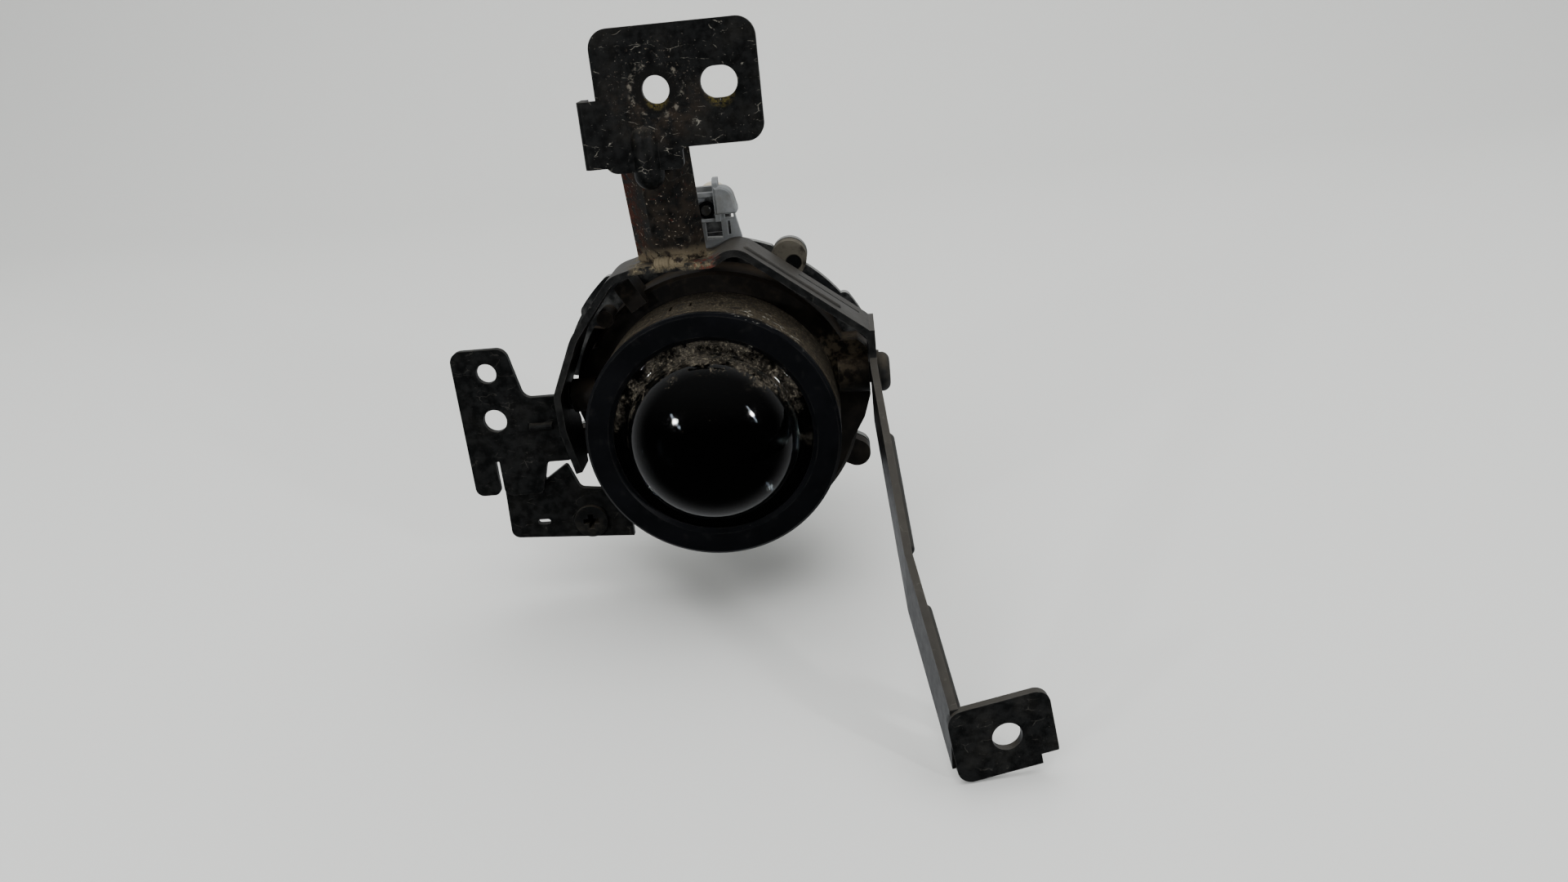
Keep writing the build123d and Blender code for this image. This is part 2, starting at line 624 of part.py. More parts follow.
with BuildPart() as lamp_housing:
    outside = [(0, HOUSING_FRONT), (CUP_R, HOUSING_FRONT), (CUP_R, HOUSING_FRONT + FLANGE),
               (39.0, HOUSING_FRONT + FLANGE)] + BOWL_OUTSIDE[1:]
    outside += [(NECK_R, 81.0), (NECK_R, NECK_END), (0, NECK_END)]
    revolve(face_of(Plane.XY, outside), axis=Axis.Y)
    for ear_radius, ear_angle, ear_r in EAR_PLACES:
        with BuildSketch(facing(HOUSING_FRONT)):
            with Locations(polar(ear_radius, ear_angle)):
                Circle(ear_r)
            with Locations(Location(Vector(*polar(ear_radius - 5, ear_angle), 0), ear_angle)):
                Rectangle(10, 2 * ear_r)
        extrude(amount=-FLANGE)
    # the flange stands further out in several stretches
    for lobe_radius, first_angle, last_angle, corner in FLANGE_LOBES:
        with BuildSketch(facing(HOUSING_FRONT)):
            with BuildLine():
                rim_arc = CenterArc((0, 0), lobe_radius, first_angle, last_angle - first_angle)
                Polyline(rim_arc @ 1, (0, 0), rim_arc @ 0)
            lobe = make_face()
            fillet(lobe.vertices().sort_by_distance((0, 0))[1:], corner)
        extrude(amount=-FLANGE)
    # stiffening fins down the bowl
    for fin_angle in range(15, 375, 45):
        out = (cos(radians(fin_angle)), 0, sin(radians(fin_angle)))
        fin_plane = Plane(origin=(0, 0, 0), x_dir=out, z_dir=(-out[2], 0, out[0]))
        fin_sign = fin_plane.y_dir.Y
        fin_points = [(30, 42), (40.6, 42), (38.6, 52), (27, 73), (18.5, 82), (15, 82), (15, 76)]
        fin_face = face_of(fin_plane, [(r, fin_sign * y) for r, y in fin_points])
        extrude(fin_face, amount=0.9, both=True)
    # tower and fork that the aim nut rides in, with two rows of moulded recesses
    tower_face = face_of(
        facing(FORK_Y[0]),
        [(AIM_X - FORK_HALF, 30), (AIM_X - FORK_HALF, FORK_TOP), (AIM_X + FORK_HALF, FORK_TOP),
         (AIM_X + FORK_HALF, 30)],
    )
    extrude(tower_face, amount=-(FORK_Y[1] - FORK_Y[0]))
    with BuildSketch(facing(FORK_Y[0] - 1)):
        with Locations((AIM_X, (FORK_SLOT_LOW + FORK_TOP) / 2 + 1)):
            Rectangle(2 * FORK_SLOT_HALF, FORK_TOP - FORK_SLOT_LOW + 2)
    extrude(amount=-8, mode=Mode.SUBTRACT)
    with BuildSketch(facing(FORK_Y[0])):
        with Locations((AIM_X, 50.6)):
            Rectangle(5.6, 3.2)
    extrude(amount=-1.2, mode=Mode.SUBTRACT)
    tower_rib = face_of(Plane.YZ.offset(AIM_X - 1), [(47, 52), (47, 30), (60, 30)])
    extrude(tower_rib, amount=2)
    extrude(disc(facing(60), VENT_R, VENT_AT), amount=-22)
    # hollow inside, bulb bore, bayonet groove and its three entries
    inside = [(0, 38), (36.4, 38), (36.4, 46), (34.9, 50), (31.2, 59), (22.8, 70.6), (15.8, 77),
              (BULB_BORE_R, 79.5), (BULB_BORE_R, LUG_GROOVE[0]), (LUG_GROOVE_R, LUG_GROOVE[0]),
              (LUG_GROOVE_R, LUG_GROOVE[1]), (BULB_BORE_R, LUG_GROOVE[1]), (BULB_BORE_R, 89),
              (0, 89)]
    revolve(face_of(Plane.XY, inside), axis=Axis.Y, mode=Mode.SUBTRACT)
    for lug_angle in LUG_ANGLES:
        with BuildSketch(facing(LUG_GROOVE[1] - 1)):
            with Locations(Location(Vector(*polar(11, lug_angle - UNLOCK_DEG), 0),
                                    lug_angle - UNLOCK_DEG)):
                Rectangle(4, 6.4)
        extrude(amount=-6, mode=Mode.SUBTRACT)
    for ear_radius, ear_angle, ear_r in EAR_PLACES:
        extrude(disc(facing(SPLIT), EAR_SCREW_R, polar(ear_radius, ear_angle)), amount=-8,
                mode=Mode.SUBTRACT)
    extrude(disc(facing(64), 1.5, VENT_AT), amount=-20, mode=Mode.SUBTRACT)
lamp_housing.part.label = "lamp_housing"
export_step(lamp_housing.part, "parts/lamp_housing.step")

# ---- three screws that close the housing onto the lens holder ------------------------------
HEAD_Y = HOUSING_FRONT + FLANGE

with BuildPart() as housing_screws:
    for ear_radius, ear_angle, ear_r in EAR_PLACES:
        place = polar(ear_radius, ear_angle)
        extrude(disc(facing(SPLIT - 3.0), EAR_SCREW_R, place), amount=-(HEAD_Y - SPLIT + 3.0))
        extrude(disc(facing(HEAD_Y), 3.4, place), amount=-2.4)
        with BuildSketch(facing(HEAD_Y + 1.2)):
            with Locations(place):
                Rectangle(3.6, 0.9)
                Rectangle(0.9, 3.6)
        extrude(amount=-2, mode=Mode.SUBTRACT)
housing_screws.part.label = "housing_screws"
export_step(housing_screws.part, "parts/housing_screws.step")

# ---- vent cap -----------------------------------------------------------------------------
with BuildPart() as vent_cap:
    extrude(disc(facing(77.6), VENT_R + 1.4, VENT_AT), amount=-6.5)
    cap_end = vent_cap.edges().filter_by(GeomType.CIRCLE).sort_by(Axis.Y)[-1]
    fillet(cap_end, 1.6)
    extrude(disc(facing(77), VENT_R, VENT_AT), amount=-5, mode=Mode.SUBTRACT)
vent_cap.part.label = "vent_cap"
export_step(vent_cap.part, "parts/vent_cap.step")

# ---- cut-off shield: the upper half is open, with a stepped edge across the middle ---------
with BuildPart() as cutoff_shield:
    with BuildSketch(facing(38.0)):
        Circle(36.3)
        with Locations((0, 14)):
            Rectangle(46, 28, mode=Mode.SUBTRACT)
        with Locations((-11.5, 0)):
            Rectangle(23, 1.2, mode=Mode.SUBTRACT)
    extrude(amount=-1.0)
cutoff_shield.part.label = "cutoff_shield"
export_step(cutoff_shield.part, "parts/cutoff_shield.step")

# ---- reflector: a thin bright bowl open at the back for the bulb ---------------------------
with BuildPart() as reflector:
    with BuildSketch(Plane.XY):
        with BuildLine():
            Polyline((29.6, 39.0), (36.3, 39.0), (36.3, 40.6), (31.1, 40.6))
            Spline((31.1, 40.6), (29.0, 55.0), (21.0, 67.0), (9.6, 74.0))
            Polyline((9.6, 74.0), (8.6, 72.9))
            Spline((8.6, 72.9), (19.9, 66.0), (27.5, 54.6), (29.6, 39.0))
        make_face()
    revolve(axis=Axis.Y)
reflector.part.label = "reflector"
export_step(reflector.part, "parts/reflector.step")

# ======================================================================================
# Bulb
# ======================================================================================

# ---- bulb base: bayonet barrel, rear disc and the connector socket turned down --------------
BASE_R = 10.6
DISC_Y = (88.4, 91.6)
SOCKET_Y = 99.0
SOCKET_OUTER = (16.4, 12.6)
SOCKET_WALL = 1.5
SOCKET_TOP = 9.0
SOCKET_MOUTH = -33.0
SOCKET_DEPTH = 16.0
RING_GROOVE = (86.0, 87.6)

with BuildPart() as bulb_base:
    extrude(disc(facing(77.5), BASE_R), amount=-(DISC_Y[0] - 77.5))
    extrude(disc(facing(DISC_Y[0]), 16.0), amount=-(DISC_Y[1] - DISC_Y[0]))
    extrude(disc(facing(DISC_Y[1]), 12.0), amount=-6.0)
    for lug_angle in LUG_ANGLES:
        with BuildSketch(facing(82.6)):
            with Locations(Location(Vector(*polar(10.2, lug_angle), 0), lug_angle)):
                Rectangle(4.4, 5.4)
        extrude(amount=-1.8)
    extrude(ring(facing(RING_GROOVE[0]), BASE_R + 1, 9.6),
            amount=-(RING_GROOVE[1] - RING_GROOVE[0]), mode=Mode.SUBTRACT)
    with BuildSketch(Plane.XY.offset(SOCKET_MOUTH)):
        with Locations((0, SOCKET_Y)):
            RectangleRounded(*SOCKET_OUTER, 2.0)
    extrude(amount=SOCKET_TOP - SOCKET_MOUTH)
    fillet(bulb_base.edges().group_by(Axis.Z)[-1].group_by(Axis.Y)[-1], 1.5)
    with BuildSketch(Plane.XY.offset(SOCKET_MOUTH - 1)):
        with Locations((0, SOCKET_Y)):
            RectangleRounded(SOCKET_OUTER[0] - 2 * SOCKET_WALL, SOCKET_OUTER[1] - 2 * SOCKET_WALL,
                             1.2)
    extrude(amount=SOCKET_DEPTH + 1, mode=Mode.SUBTRACT)
    # latch ramp on the socket's rear face
    ramp = face_of(Plane.YZ.offset(-2.6), [(SOCKET_Y + 6.2, -20), (SOCKET_Y + 8.4, -20),
                                           (SOCKET_Y + 6.2, -29)])
    extrude(ramp, amount=5.2)
    # blind seats for the two terminals and a front seat for the glass
    with BuildSketch(Plane.XY.offset(SOCKET_MOUTH + SOCKET_DEPTH - 1)):
        with Locations((-3.2, SOCKET_Y), (3.2, SOCKET_Y)):
            Rectangle(2.8, 0.8)
    extrude(amount=9, mode=Mode.SUBTRACT)
    extrude(disc(facing(76.5), 6.6), amount=-4, mode=Mode.SUBTRACT)
bulb_base.part.label = "bulb_base"
export_step(bulb_base.part, "parts/bulb_base.step")

# ---- two blade terminals ---------------------------------------------------------------------
with BuildPart() as bulb_terminals:
    with BuildSketch(Plane.XY.offset(SOCKET_MOUTH + 5)):
        with Locations((-3.2, SOCKET_Y), (3.2, SOCKET_Y)):
            Rectangle(2.8, 0.8)
    extrude(amount=SOCKET_DEPTH + 3)
bulb_terminals.part.label = "bulb_terminals"
export_step(bulb_terminals.part, "parts/bulb_terminals.step")

# ---- seal ring in the barrel's groove ---------------------------------------------------------
with BuildPart() as bulb_seal:
    extrude(ring(facing(RING_GROOVE[0]), BULB_BORE_R - RUNNING, 9.6),
            amount=-(RING_GROOVE[1] - RING_GROOVE[0]))
bulb_seal.part.label = "bulb_seal"
export_step(bulb_seal.part, "parts/bulb_seal.step")

# ---- metal collar that holds the glass ---------------------------------------------------------
with BuildPart() as bulb_collar:
    extrude(ring(facing(70.5), 6.6, 5.6), amount=-10.0)
bulb_collar.part.label = "bulb_collar"
export_step(bulb_collar.part, "parts/bulb_collar.step")

# ---- glass capsule: hollow, round in front, pinched solid at the back -------------------------
with BuildPart() as bulb_glass:
    capsule = [(0, 50.2), (2.6, 50.8), (4.6, 52.6), (5.5, 55.4), (5.5, 78.0), (0, 78.0)]
    revolve(face_of(Plane.XY, capsule), axis=Axis.Y)
    cavity = [(0, 51.3), (2.2, 51.8), (3.8, 53.3), (4.6, 55.8), (4.6, 68.0), (0, 69.5)]
    revolve(face_of(Plane.XY, cavity), axis=Axis.Y, mode=Mode.SUBTRACT)
bulb_glass.part.label = "bulb_glass"
export_step(bulb_glass.part, "parts/bulb_glass.step")

# ---- filament and its two posts, inside the capsule --------------------------------------------
with BuildPart() as bulb_filament:
    extrude(disc(facing(56.5), 0.7), amount=-5.0)
    for side in (-1, 1):
        extrude(disc(facing(58.0), 0.3, (side * 1.6, 0)), amount=-10.2)
    with Locations((0, 59.0, 0)):
        Cylinder(0.3, 3.6, rotation=(0, 90, 0))
bulb_filament.part.label = "bulb_filament"
export_step(bulb_filament.part, "parts/bulb_filament.step")

# ======================================================================================
# Aim adjuster
# ======================================================================================

# ---- aim screw: thread behind the holder, thin journal through it and a hexagon head at the back
SCREW_FREE = 0.3
SCREW_SHOULDER_Y = BAND_REAR + SHEET + SCREW_FREE
SCREW_HEAD_Y = 55.6
CLIP_Y = 28.7
SCREW_TIP_Y = 27.4

with BuildPart() as aim_screw:
    extrude(disc(facing(SCREW_TIP_Y), AIM_JOURNAL_R, (AIM_X, AIM_Z)),
            amount=-(SCREW_SHOULDER_Y - SCREW_TIP_Y))
    extrude(disc(facing(SCREW_SHOULDER_Y), 3.2, (AIM_X, AIM_Z)), amount=-1.4)
    extrude(disc(facing(SCREW_SHOULDER_Y), AIM_R, (AIM_X, AIM_Z)),
            amount=-(SCREW_HEAD_Y - SCREW_SHOULDER_Y))
    with BuildSketch(facing(SCREW_HEAD_Y)):
        with Locations((AIM_X, AIM_Z)):
            RegularPolygon(2.75, 6, major_radius=False)
    extrude(amount=-3.4)
    with BuildSketch(facing(SCREW_HEAD_Y + 1.9)):
        with Locations((AIM_X, AIM_Z)):
            Rectangle(3.4, 0.8)
            Rectangle(0.8, 3.4)
    extrude(amount=-3, mode=Mode.SUBTRACT)
aim_screw.part.label = "aim_screw"
export_step(aim_screw.part, "parts/aim_screw.step")

# ---- push-on clip in front of the holder's plate -------------------------------------------------
with BuildPart() as aim_screw_clip:
    extrude(ring(facing(CLIP_Y), 2.4, AIM_JOURNAL_R, (AIM_X, AIM_Z)), amount=-1.0)
aim_screw_clip.part.label = "aim_screw_clip"
export_step(aim_screw_clip.part, "parts/aim_screw_clip.step")

# ---- aim nut: two flanges with a square waist that the fork straddles -----------------------------
NUT_FLANGE_R = 4.6
NUT_WAIST = 5.6
FORK_GAP = 0.8
NUT_FLANGE = 2.0

with BuildPart() as aim_nut:
    with BuildSketch(facing(FORK_Y[0] - FORK_GAP)):
        with Locations((AIM_X, AIM_Z)):
            Rectangle(NUT_WAIST, NUT_WAIST)
    extrude(amount=-(FORK_Y[1] - FORK_Y[0] + 2 * FORK_GAP))
    extrude(disc(facing(FORK_Y[0] - FORK_GAP - NUT_FLANGE), NUT_FLANGE_R, (AIM_X, AIM_Z)),
            amount=-NUT_FLANGE)
    extrude(disc(facing(FORK_Y[1] + FORK_GAP), NUT_FLANGE_R, (AIM_X, AIM_Z)), amount=-NUT_FLANGE)
    extrude(disc(facing(FORK_Y[0] - 5), AIM_R + RUNNING, (AIM_X, AIM_Z)), amount=-14,
            mode=Mode.SUBTRACT)
aim_nut.part.label = "aim_nut"
export_step(aim_nut.part, "parts/aim_nut.step")
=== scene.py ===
"""Looks of a projector fog light on its pressed steel bracket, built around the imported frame.

Metres, in the frame of the CAD model: -Y is the beam, +X is right as seen from the front, +Z is up.
"""
import json

import bmesh
import bpy
import numpy as np
from mathutils import Matrix, Vector


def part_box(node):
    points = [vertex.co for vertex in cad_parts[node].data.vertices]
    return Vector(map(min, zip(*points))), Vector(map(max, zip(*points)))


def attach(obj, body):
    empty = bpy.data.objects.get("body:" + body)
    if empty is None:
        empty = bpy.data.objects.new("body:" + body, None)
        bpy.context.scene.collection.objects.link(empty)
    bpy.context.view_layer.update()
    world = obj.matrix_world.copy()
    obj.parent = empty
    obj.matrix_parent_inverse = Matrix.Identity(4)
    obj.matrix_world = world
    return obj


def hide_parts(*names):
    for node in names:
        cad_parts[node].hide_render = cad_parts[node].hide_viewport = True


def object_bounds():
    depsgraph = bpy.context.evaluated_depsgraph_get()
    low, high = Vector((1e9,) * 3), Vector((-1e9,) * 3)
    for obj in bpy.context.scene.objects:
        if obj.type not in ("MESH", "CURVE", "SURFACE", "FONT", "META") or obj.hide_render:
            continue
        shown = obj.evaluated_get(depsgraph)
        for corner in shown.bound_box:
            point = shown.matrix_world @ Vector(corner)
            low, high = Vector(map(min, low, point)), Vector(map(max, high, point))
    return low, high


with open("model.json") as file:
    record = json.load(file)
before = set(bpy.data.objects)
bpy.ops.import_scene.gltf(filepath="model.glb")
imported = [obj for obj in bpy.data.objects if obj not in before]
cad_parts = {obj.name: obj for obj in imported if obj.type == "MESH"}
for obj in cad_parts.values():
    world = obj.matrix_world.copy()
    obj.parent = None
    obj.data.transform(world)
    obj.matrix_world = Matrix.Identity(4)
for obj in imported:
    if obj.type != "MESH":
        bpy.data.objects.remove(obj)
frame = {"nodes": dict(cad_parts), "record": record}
cad_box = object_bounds()
MM = 0.001

# ---- floor, light and camera ---------------------------------------------------------------------
# A plain pale studio sweep under two wide soft panels, which light the object without being
# mirrored in it.  In front, left and right, a small bright lamp over a dim strip makes each of the
# two slanting highlights on the glass dome.


def linear(hex_colour):
    """Linear RGBA from an sRGB hex value: (v/12.92) in the toe, ((v+0.055)/1.055)^2.4 above it."""
    parts = [int(hex_colour[i:i + 2], 16) / 255 for i in (1, 3, 5)]
    return tuple(v / 12.92 if v <= 0.04045 else ((v + 0.055) / 1.055) ** 2.4 for v in parts) + (1.0,)


def put(tree, kind, inputs=None, **settings):
    """Adds a shader node with its settings; an input is a value or another node's socket."""
    made = tree.nodes.new("ShaderNode" + kind)
    for name, value in settings.items():
        setattr(made, name, value)
    for name, value in (inputs or {}).items():
        if isinstance(value, bpy.types.NodeSocket):
            tree.links.new(value, made.inputs[name])
        else:
            made.inputs[name].default_value = value
    return made


def blank_material(name):
    """An empty node material and its output node."""
    material = bpy.data.materials.new(name)
    material.use_nodes = True
    material.node_tree.nodes.clear()
    output = material.node_tree.nodes.new("ShaderNodeOutputMaterial")
    return material, material.node_tree, output


def mesh_object(name, points, faces):
    """A smooth-shaded mesh object at the origin, from an array of points and one of face corners."""
    mesh = bpy.data.meshes.new(name)
    mesh.from_pydata(points.reshape(-1, 3).tolist(), [], faces.tolist())
    mesh.update()
    mesh.shade_smooth()
    piece = bpy.data.objects.new(name, mesh)
    bpy.context.scene.collection.objects.link(piece)
    return piece


FLOOR_GAP = 0.5 * MM
FLOOR_Z = cad_box[0][2] - FLOOR_GAP
SWEEP_HALF = 4.0  # half the floor's width, its run to the front and the wall's height
SWEEP_BACK = 0.8
SWEEP_RADIUS = 0.6


def studio_sweep():
    """A floor that runs back and turns up into a wall: a straight run, a quarter circle, a rise."""
    turn = np.linspace(0, np.pi / 2, 25)
    y = np.concatenate([[-SWEEP_HALF], SWEEP_BACK + SWEEP_RADIUS * np.sin(turn)])
    z = np.concatenate([[0.0], SWEEP_RADIUS * (1 - np.cos(turn))])
    y = np.append(y, y[-1])
    z = np.append(z, SWEEP_HALF)
    x = np.array([-SWEEP_HALF, SWEEP_HALF])
    grid = np.stack(np.broadcast_arrays(x[None, :], y[:, None], z[:, None] + FLOOR_Z), -1)
    faces = 2 * np.arange(len(y) - 1)[:, None] + np.array([0, 1, 3, 2])
    return mesh_object("studio_sweep", grid, faces)


sweep = studio_sweep()
sweep_paint, tree, output = blank_material("matt_white_backdrop_paint")
paint = put(tree, "BsdfPrincipled", {"Base Color": linear("#d6d7d4"), "Roughness": 0.9})
tree.links.new(paint.outputs[0], output.inputs[0])
sweep.data.materials.append(sweep_paint)
# the floor lights the object but isn't mirrored in it, so that the glass stays dark
sweep.visible_glossy = False
sweep.visible_transmission = False

# the air is bright behind the object and dark in front of it, so that black faces stay black
world = bpy.data.worlds.new("studio_air")
world.use_nodes = True
air = world.node_tree
looking = put(air, "SeparateXYZ", {0: put(air, "TexCoord").outputs["Generated"]})
behind = put(air, "MapRange", {"Value": looking.outputs["Y"], "From Min": -0.3, "From Max": 0.7,
                               "To Min": 0.02, "To Max": 0.8}, interpolation_type="SMOOTHSTEP")
above = put(air, "MapRange", {"Value": looking.outputs["Z"], "From Min": 0.1, "From Max": 1.0,
                              "To Min": 0.0, "To Max": 0.15})
glow = put(air, "Math", {0: behind.outputs[0], 1: above.outputs[0]})
air.nodes["Background"].inputs["Color"].default_value = linear("#e3e6e8")
air.links.new(glow.outputs[0], air.nodes["Background"].inputs["Strength"])
bpy.context.scene.world = world


def soft_lamp(name, direction, distance, size, watts, colour="#ffffff", roll=0.0, mirrored=True):
    """A rectangular lamp that faces the object from a direction, rolled about its own axis.
    A lamp that isn't mirrored lights the object without showing in glossy faces."""
    lamp = bpy.data.lights.new(name, "AREA")
    lamp.shape = "RECTANGLE"
    lamp.size, lamp.size_y = size
    lamp.energy = watts
    lamp.color = linear(colour)[:3]
    holder = bpy.data.objects.new(name, lamp)
    towards = Vector(direction).normalized()
    turn = towards.to_track_quat("Z", "Y").to_matrix().to_4x4()
    holder.matrix_world = Matrix.Translation(towards * distance) @ turn @ Matrix.Rotation(roll, 4, "Z")
    holder.visible_glossy = mirrored
    holder.visible_transmission = mirrored
    bpy.context.scene.collection.objects.link(holder)


PANEL_SIZE = (2.4, 2.0)
PANEL_WATTS = 44
STRIP_SIZE = (0.03, 0.42)
STRIP_WATTS = 0.5
STRIP_BLUE = "#dfe8ff"
STRIP_DISTANCE = 1.3
SPOT_DISTANCE = 1.25
LEFT_FRONT = (-0.59, -0.77, 0.24)
LEFT_LEAN = 0.75
RIGHT_FRONT = (0.67, -0.69, 0.28)
RIGHT_LEAN = 0.2
soft_lamp("overhead_panel", (0.1, 0.15, 1.0), 1.7, PANEL_SIZE, PANEL_WATTS, mirrored=False)
soft_lamp("room_fill", (-0.25, -0.7, 0.9), 2.6, PANEL_SIZE, PANEL_WATTS, mirrored=False)
soft_lamp("left_streak", LEFT_FRONT, STRIP_DISTANCE, STRIP_SIZE, STRIP_WATTS, STRIP_BLUE, LEFT_LEAN)
soft_lamp("left_spot", LEFT_FRONT, SPOT_DISTANCE, (0.06, 0.09), 3.6, roll=LEFT_LEAN)
soft_lamp("right_streak", RIGHT_FRONT, STRIP_DISTANCE, STRIP_SIZE, STRIP_WATTS, STRIP_BLUE, RIGHT_LEAN)
soft_lamp("right_spot", RIGHT_FRONT, SPOT_DISTANCE, (0.065, 0.1), 4.4, roll=RIGHT_LEAN)

SENSOR_MM = 36.0
FOCAL_MM = 27.19
CAMERA_PLACE = Vector((0.0441, -0.3072, 0.1158))
CAMERA_RIGHT = Vector((0.9945, 0.042, -0.0958))
CAMERA_UP = Vector((0.0741, 0.363, 0.9288))
camera_data = bpy.data.cameras.new("camera")
camera_data.sensor_width = SENSOR_MM
camera_data.lens = FOCAL_MM
camera_data.clip_start = 0.01
camera = bpy.data.objects.new("camera", camera_data)
axes = Matrix((CAMERA_RIGHT, CAMERA_UP, CAMERA_RIGHT.cross(CAMERA_UP))).transposed()
camera.matrix_world = Matrix.Translation(CAMERA_PLACE) @ axes.to_4x4()
bpy.context.scene.collection.objects.link(camera)
bpy.context.scene.camera = camera

# ---- bracket pressings: band, upper plate, side plate and lower tab ------------------------------
# Two-millimetre steel sheet, blanked, bent and spot-welded, then black electrocoated.  Years under
# a bumper have left dust, fine scribbled scratches, worn edges and brown dirt around the bolt holes;
# the edges also carry a painted highlight.
MERGE_GAP = 0.002 * MM
FLAT_DEG = 0.6


def softened(node, edge_mm, angle_deg=32):
    """A copy of a CAD piece: doubled points merged, triangles whose planes differ by less than
    FLAT_DEG joined, and every edge sharper than the given angle rounded by two segments."""
    mesh = frame["nodes"][node].data.copy()
    work = bmesh.new()
    work.from_mesh(mesh)
    bmesh.ops.remove_doubles(work, verts=work.verts, dist=MERGE_GAP)
    bmesh.ops.dissolve_limit(work, angle_limit=np.radians(FLAT_DEG), verts=work.verts, edges=work.edges)
    work.to_mesh(mesh)
    work.free()
    mesh.shade_smooth()
    mesh.set_sharp_from_angle(angle=np.radians(angle_deg))
    piece = bpy.data.objects.new(node + "_finished", mesh)
    bpy.context.scene.collection.objects.link(piece)
    rounding = piece.modifiers.new("rounded_edges", "BEVEL")
    rounding.width = edge_mm * MM
    rounding.segments = 2
    rounding.limit_method = "ANGLE"
    rounding.angle_limit = np.radians(angle_deg)
    rounding.harden_normals = True
    rounding.use_clamp_overlap = True
    return piece


def dress(piece, material, body, slot, *replaced):
    """Gives a finished piece its material and body and hides the CAD nodes it stands for; slot is not used.
    """
    piece.data.materials.clear()
    piece.data.materials.append(material)
    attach(piece, body)
    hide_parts(*replaced)


def span(tree, value, low, high):
    """A smooth step from nought at one value to one at another, which may be the lower."""
    return put(tree, "MapRange", {"Value": value, "From Min": low, "From Max": high},
               interpolation_type="SMOOTHSTEP").outputs[0]


def math_of(tree, operation, first, second):
    """The result of one sum on two sockets or values, held between zero and one."""
    return put(tree, "Math", {0: first, 1: second}, operation=operation, use_clamp=True).outputs[0]


def blotches(tree, place, size_mm, low, high, detail=6.0, seed=0.0):
    """A mask of irregular patches: fractal noise of one grain size, cut between two levels."""
    moved = put(tree, "Mapping", {"Vector": place, "Location": (seed, seed * 0.7, -seed)})
    cloud = put(tree, "TexNoise", {"Vector": moved.outputs[0], "Scale": 1 / (size_mm * MM),
                                   "Detail": detail, "Roughness": 0.62})
    return span(tree, cloud.outputs[0], low, high)


def scribbles(tree, place, size_mm, width_mm, seed, lean, stretch):
    """A mask of thin wandering strokes: borders between noise-bent cells that are drawn out along a
    leaning direction, broken up by patches.  Real scratches are finer and wouldn't show."""
    bend = put(tree, "TexNoise", {"Vector": place, "Scale": 1 / (size_mm * 0.6 * MM), "Detail": 4.0})
    shift = put(tree, "VectorMath", {0: bend.outputs[1], "Scale": size_mm * 0.4 * MM}, operation="SCALE")
    bent = put(tree, "VectorMath", {0: place, 1: shift.outputs[0]})
    moved = put(tree, "Mapping", {"Vector": bent.outputs[0], "Location": (seed, seed, seed),
                                  "Rotation": (0, lean, 0), "Scale": (1 / stretch, 1, 1)})
    cells = put(tree, "TexVoronoi", {"Vector": moved.outputs[0], "Scale": 1 / (size_mm * MM)},
                feature="DISTANCE_TO_EDGE")
    width = width_mm / size_mm
    line = put(tree, "MapRange", {"Value": cells.outputs[0], "From Min": width, "From Max": width * 0.2})
    gate = blotches(tree, place, size_mm, 0.52, 0.62, seed=seed + 3)
    return math_of(tree, "MULTIPLY", line.outputs[0], gate)


def facing_up(tree, low, high):
    """A mask that grows where the surface looks up, from its true normal."""
    parts = put(tree, "SeparateXYZ", {0: put(tree, "NewGeometry").outputs["Normal"]})
    return span(tree, parts.outputs["Z"], low, high)


def distance_mm(tree, place, centre):
    """Distance from a point, in millimetres."""
    gap = put(tree, "VectorMath", {0: place, 1: tuple(centre)}, operation="DISTANCE")
    return put(tree, "Math", {0: gap.outputs["Value"], 1: 1 / MM}, operation="MULTIPLY").outputs[0]


def worn_and_lit_edges(tree, radius_mm, low=0.03, high=0.22):
    """A mask along outer and inner edges, for wear and a painted highlight: how far a rounded normal leans
    from the true one.
    """
    rounded = put(tree, "Bevel", {"Radius": radius_mm * MM}, samples=4)
    flat = put(tree, "NewGeometry")
    agree = put(tree, "VectorMath", {0: rounded.outputs[0], 1: flat.outputs["Normal"]},
                operation="DOT_PRODUCT")
    return span(tree, math_of(tree, "SUBTRACT", 1.0, agree.outputs["Value"]), low, high)


def layered(tree, output, base, roughness, layers, grain_mm=1.0, grain_rise_mm=0.03, gloss=0.25,
            metallic=0.0):
    """Lays finishes over a base one after another and joins them to a Principled shader.  A layer
    is (mask, colour, roughness, height in mm); fine grain lies under all of them."""
    colour = linear(base)
    place = put(tree, "TexCoord").outputs["Object"]
    grain = put(tree, "TexNoise", {"Vector": place, "Scale": 1 / (grain_mm * MM), "Detail": 4.0})
    height = put(tree, "Math", {0: grain.outputs[0], 1: grain_rise_mm}, operation="MULTIPLY").outputs[0]
    for mask, tint, rough, rise in layers:
        colour = put(tree, "Mix", {0: mask, 6: colour, 7: linear(tint)}, data_type="RGBA").outputs[2]
        roughness = put(tree, "Mix", {0: mask, 2: roughness, 3: rough}).outputs[0]
        if rise:
            height = put(tree, "Math", {0: mask, 1: rise, 2: height}, operation="MULTIPLY_ADD").outputs[0]
    bump = put(tree, "Bump", {"Height": height, "Distance": MM})
    made = put(tree, "BsdfPrincipled", {
        "Base Color": colour, "Roughness": roughness, "Normal": bump.outputs[0],
        "Specular IOR Level": gloss, "Metallic": metallic,
    })
    tree.links.new(made.outputs[0], output.inputs[0])


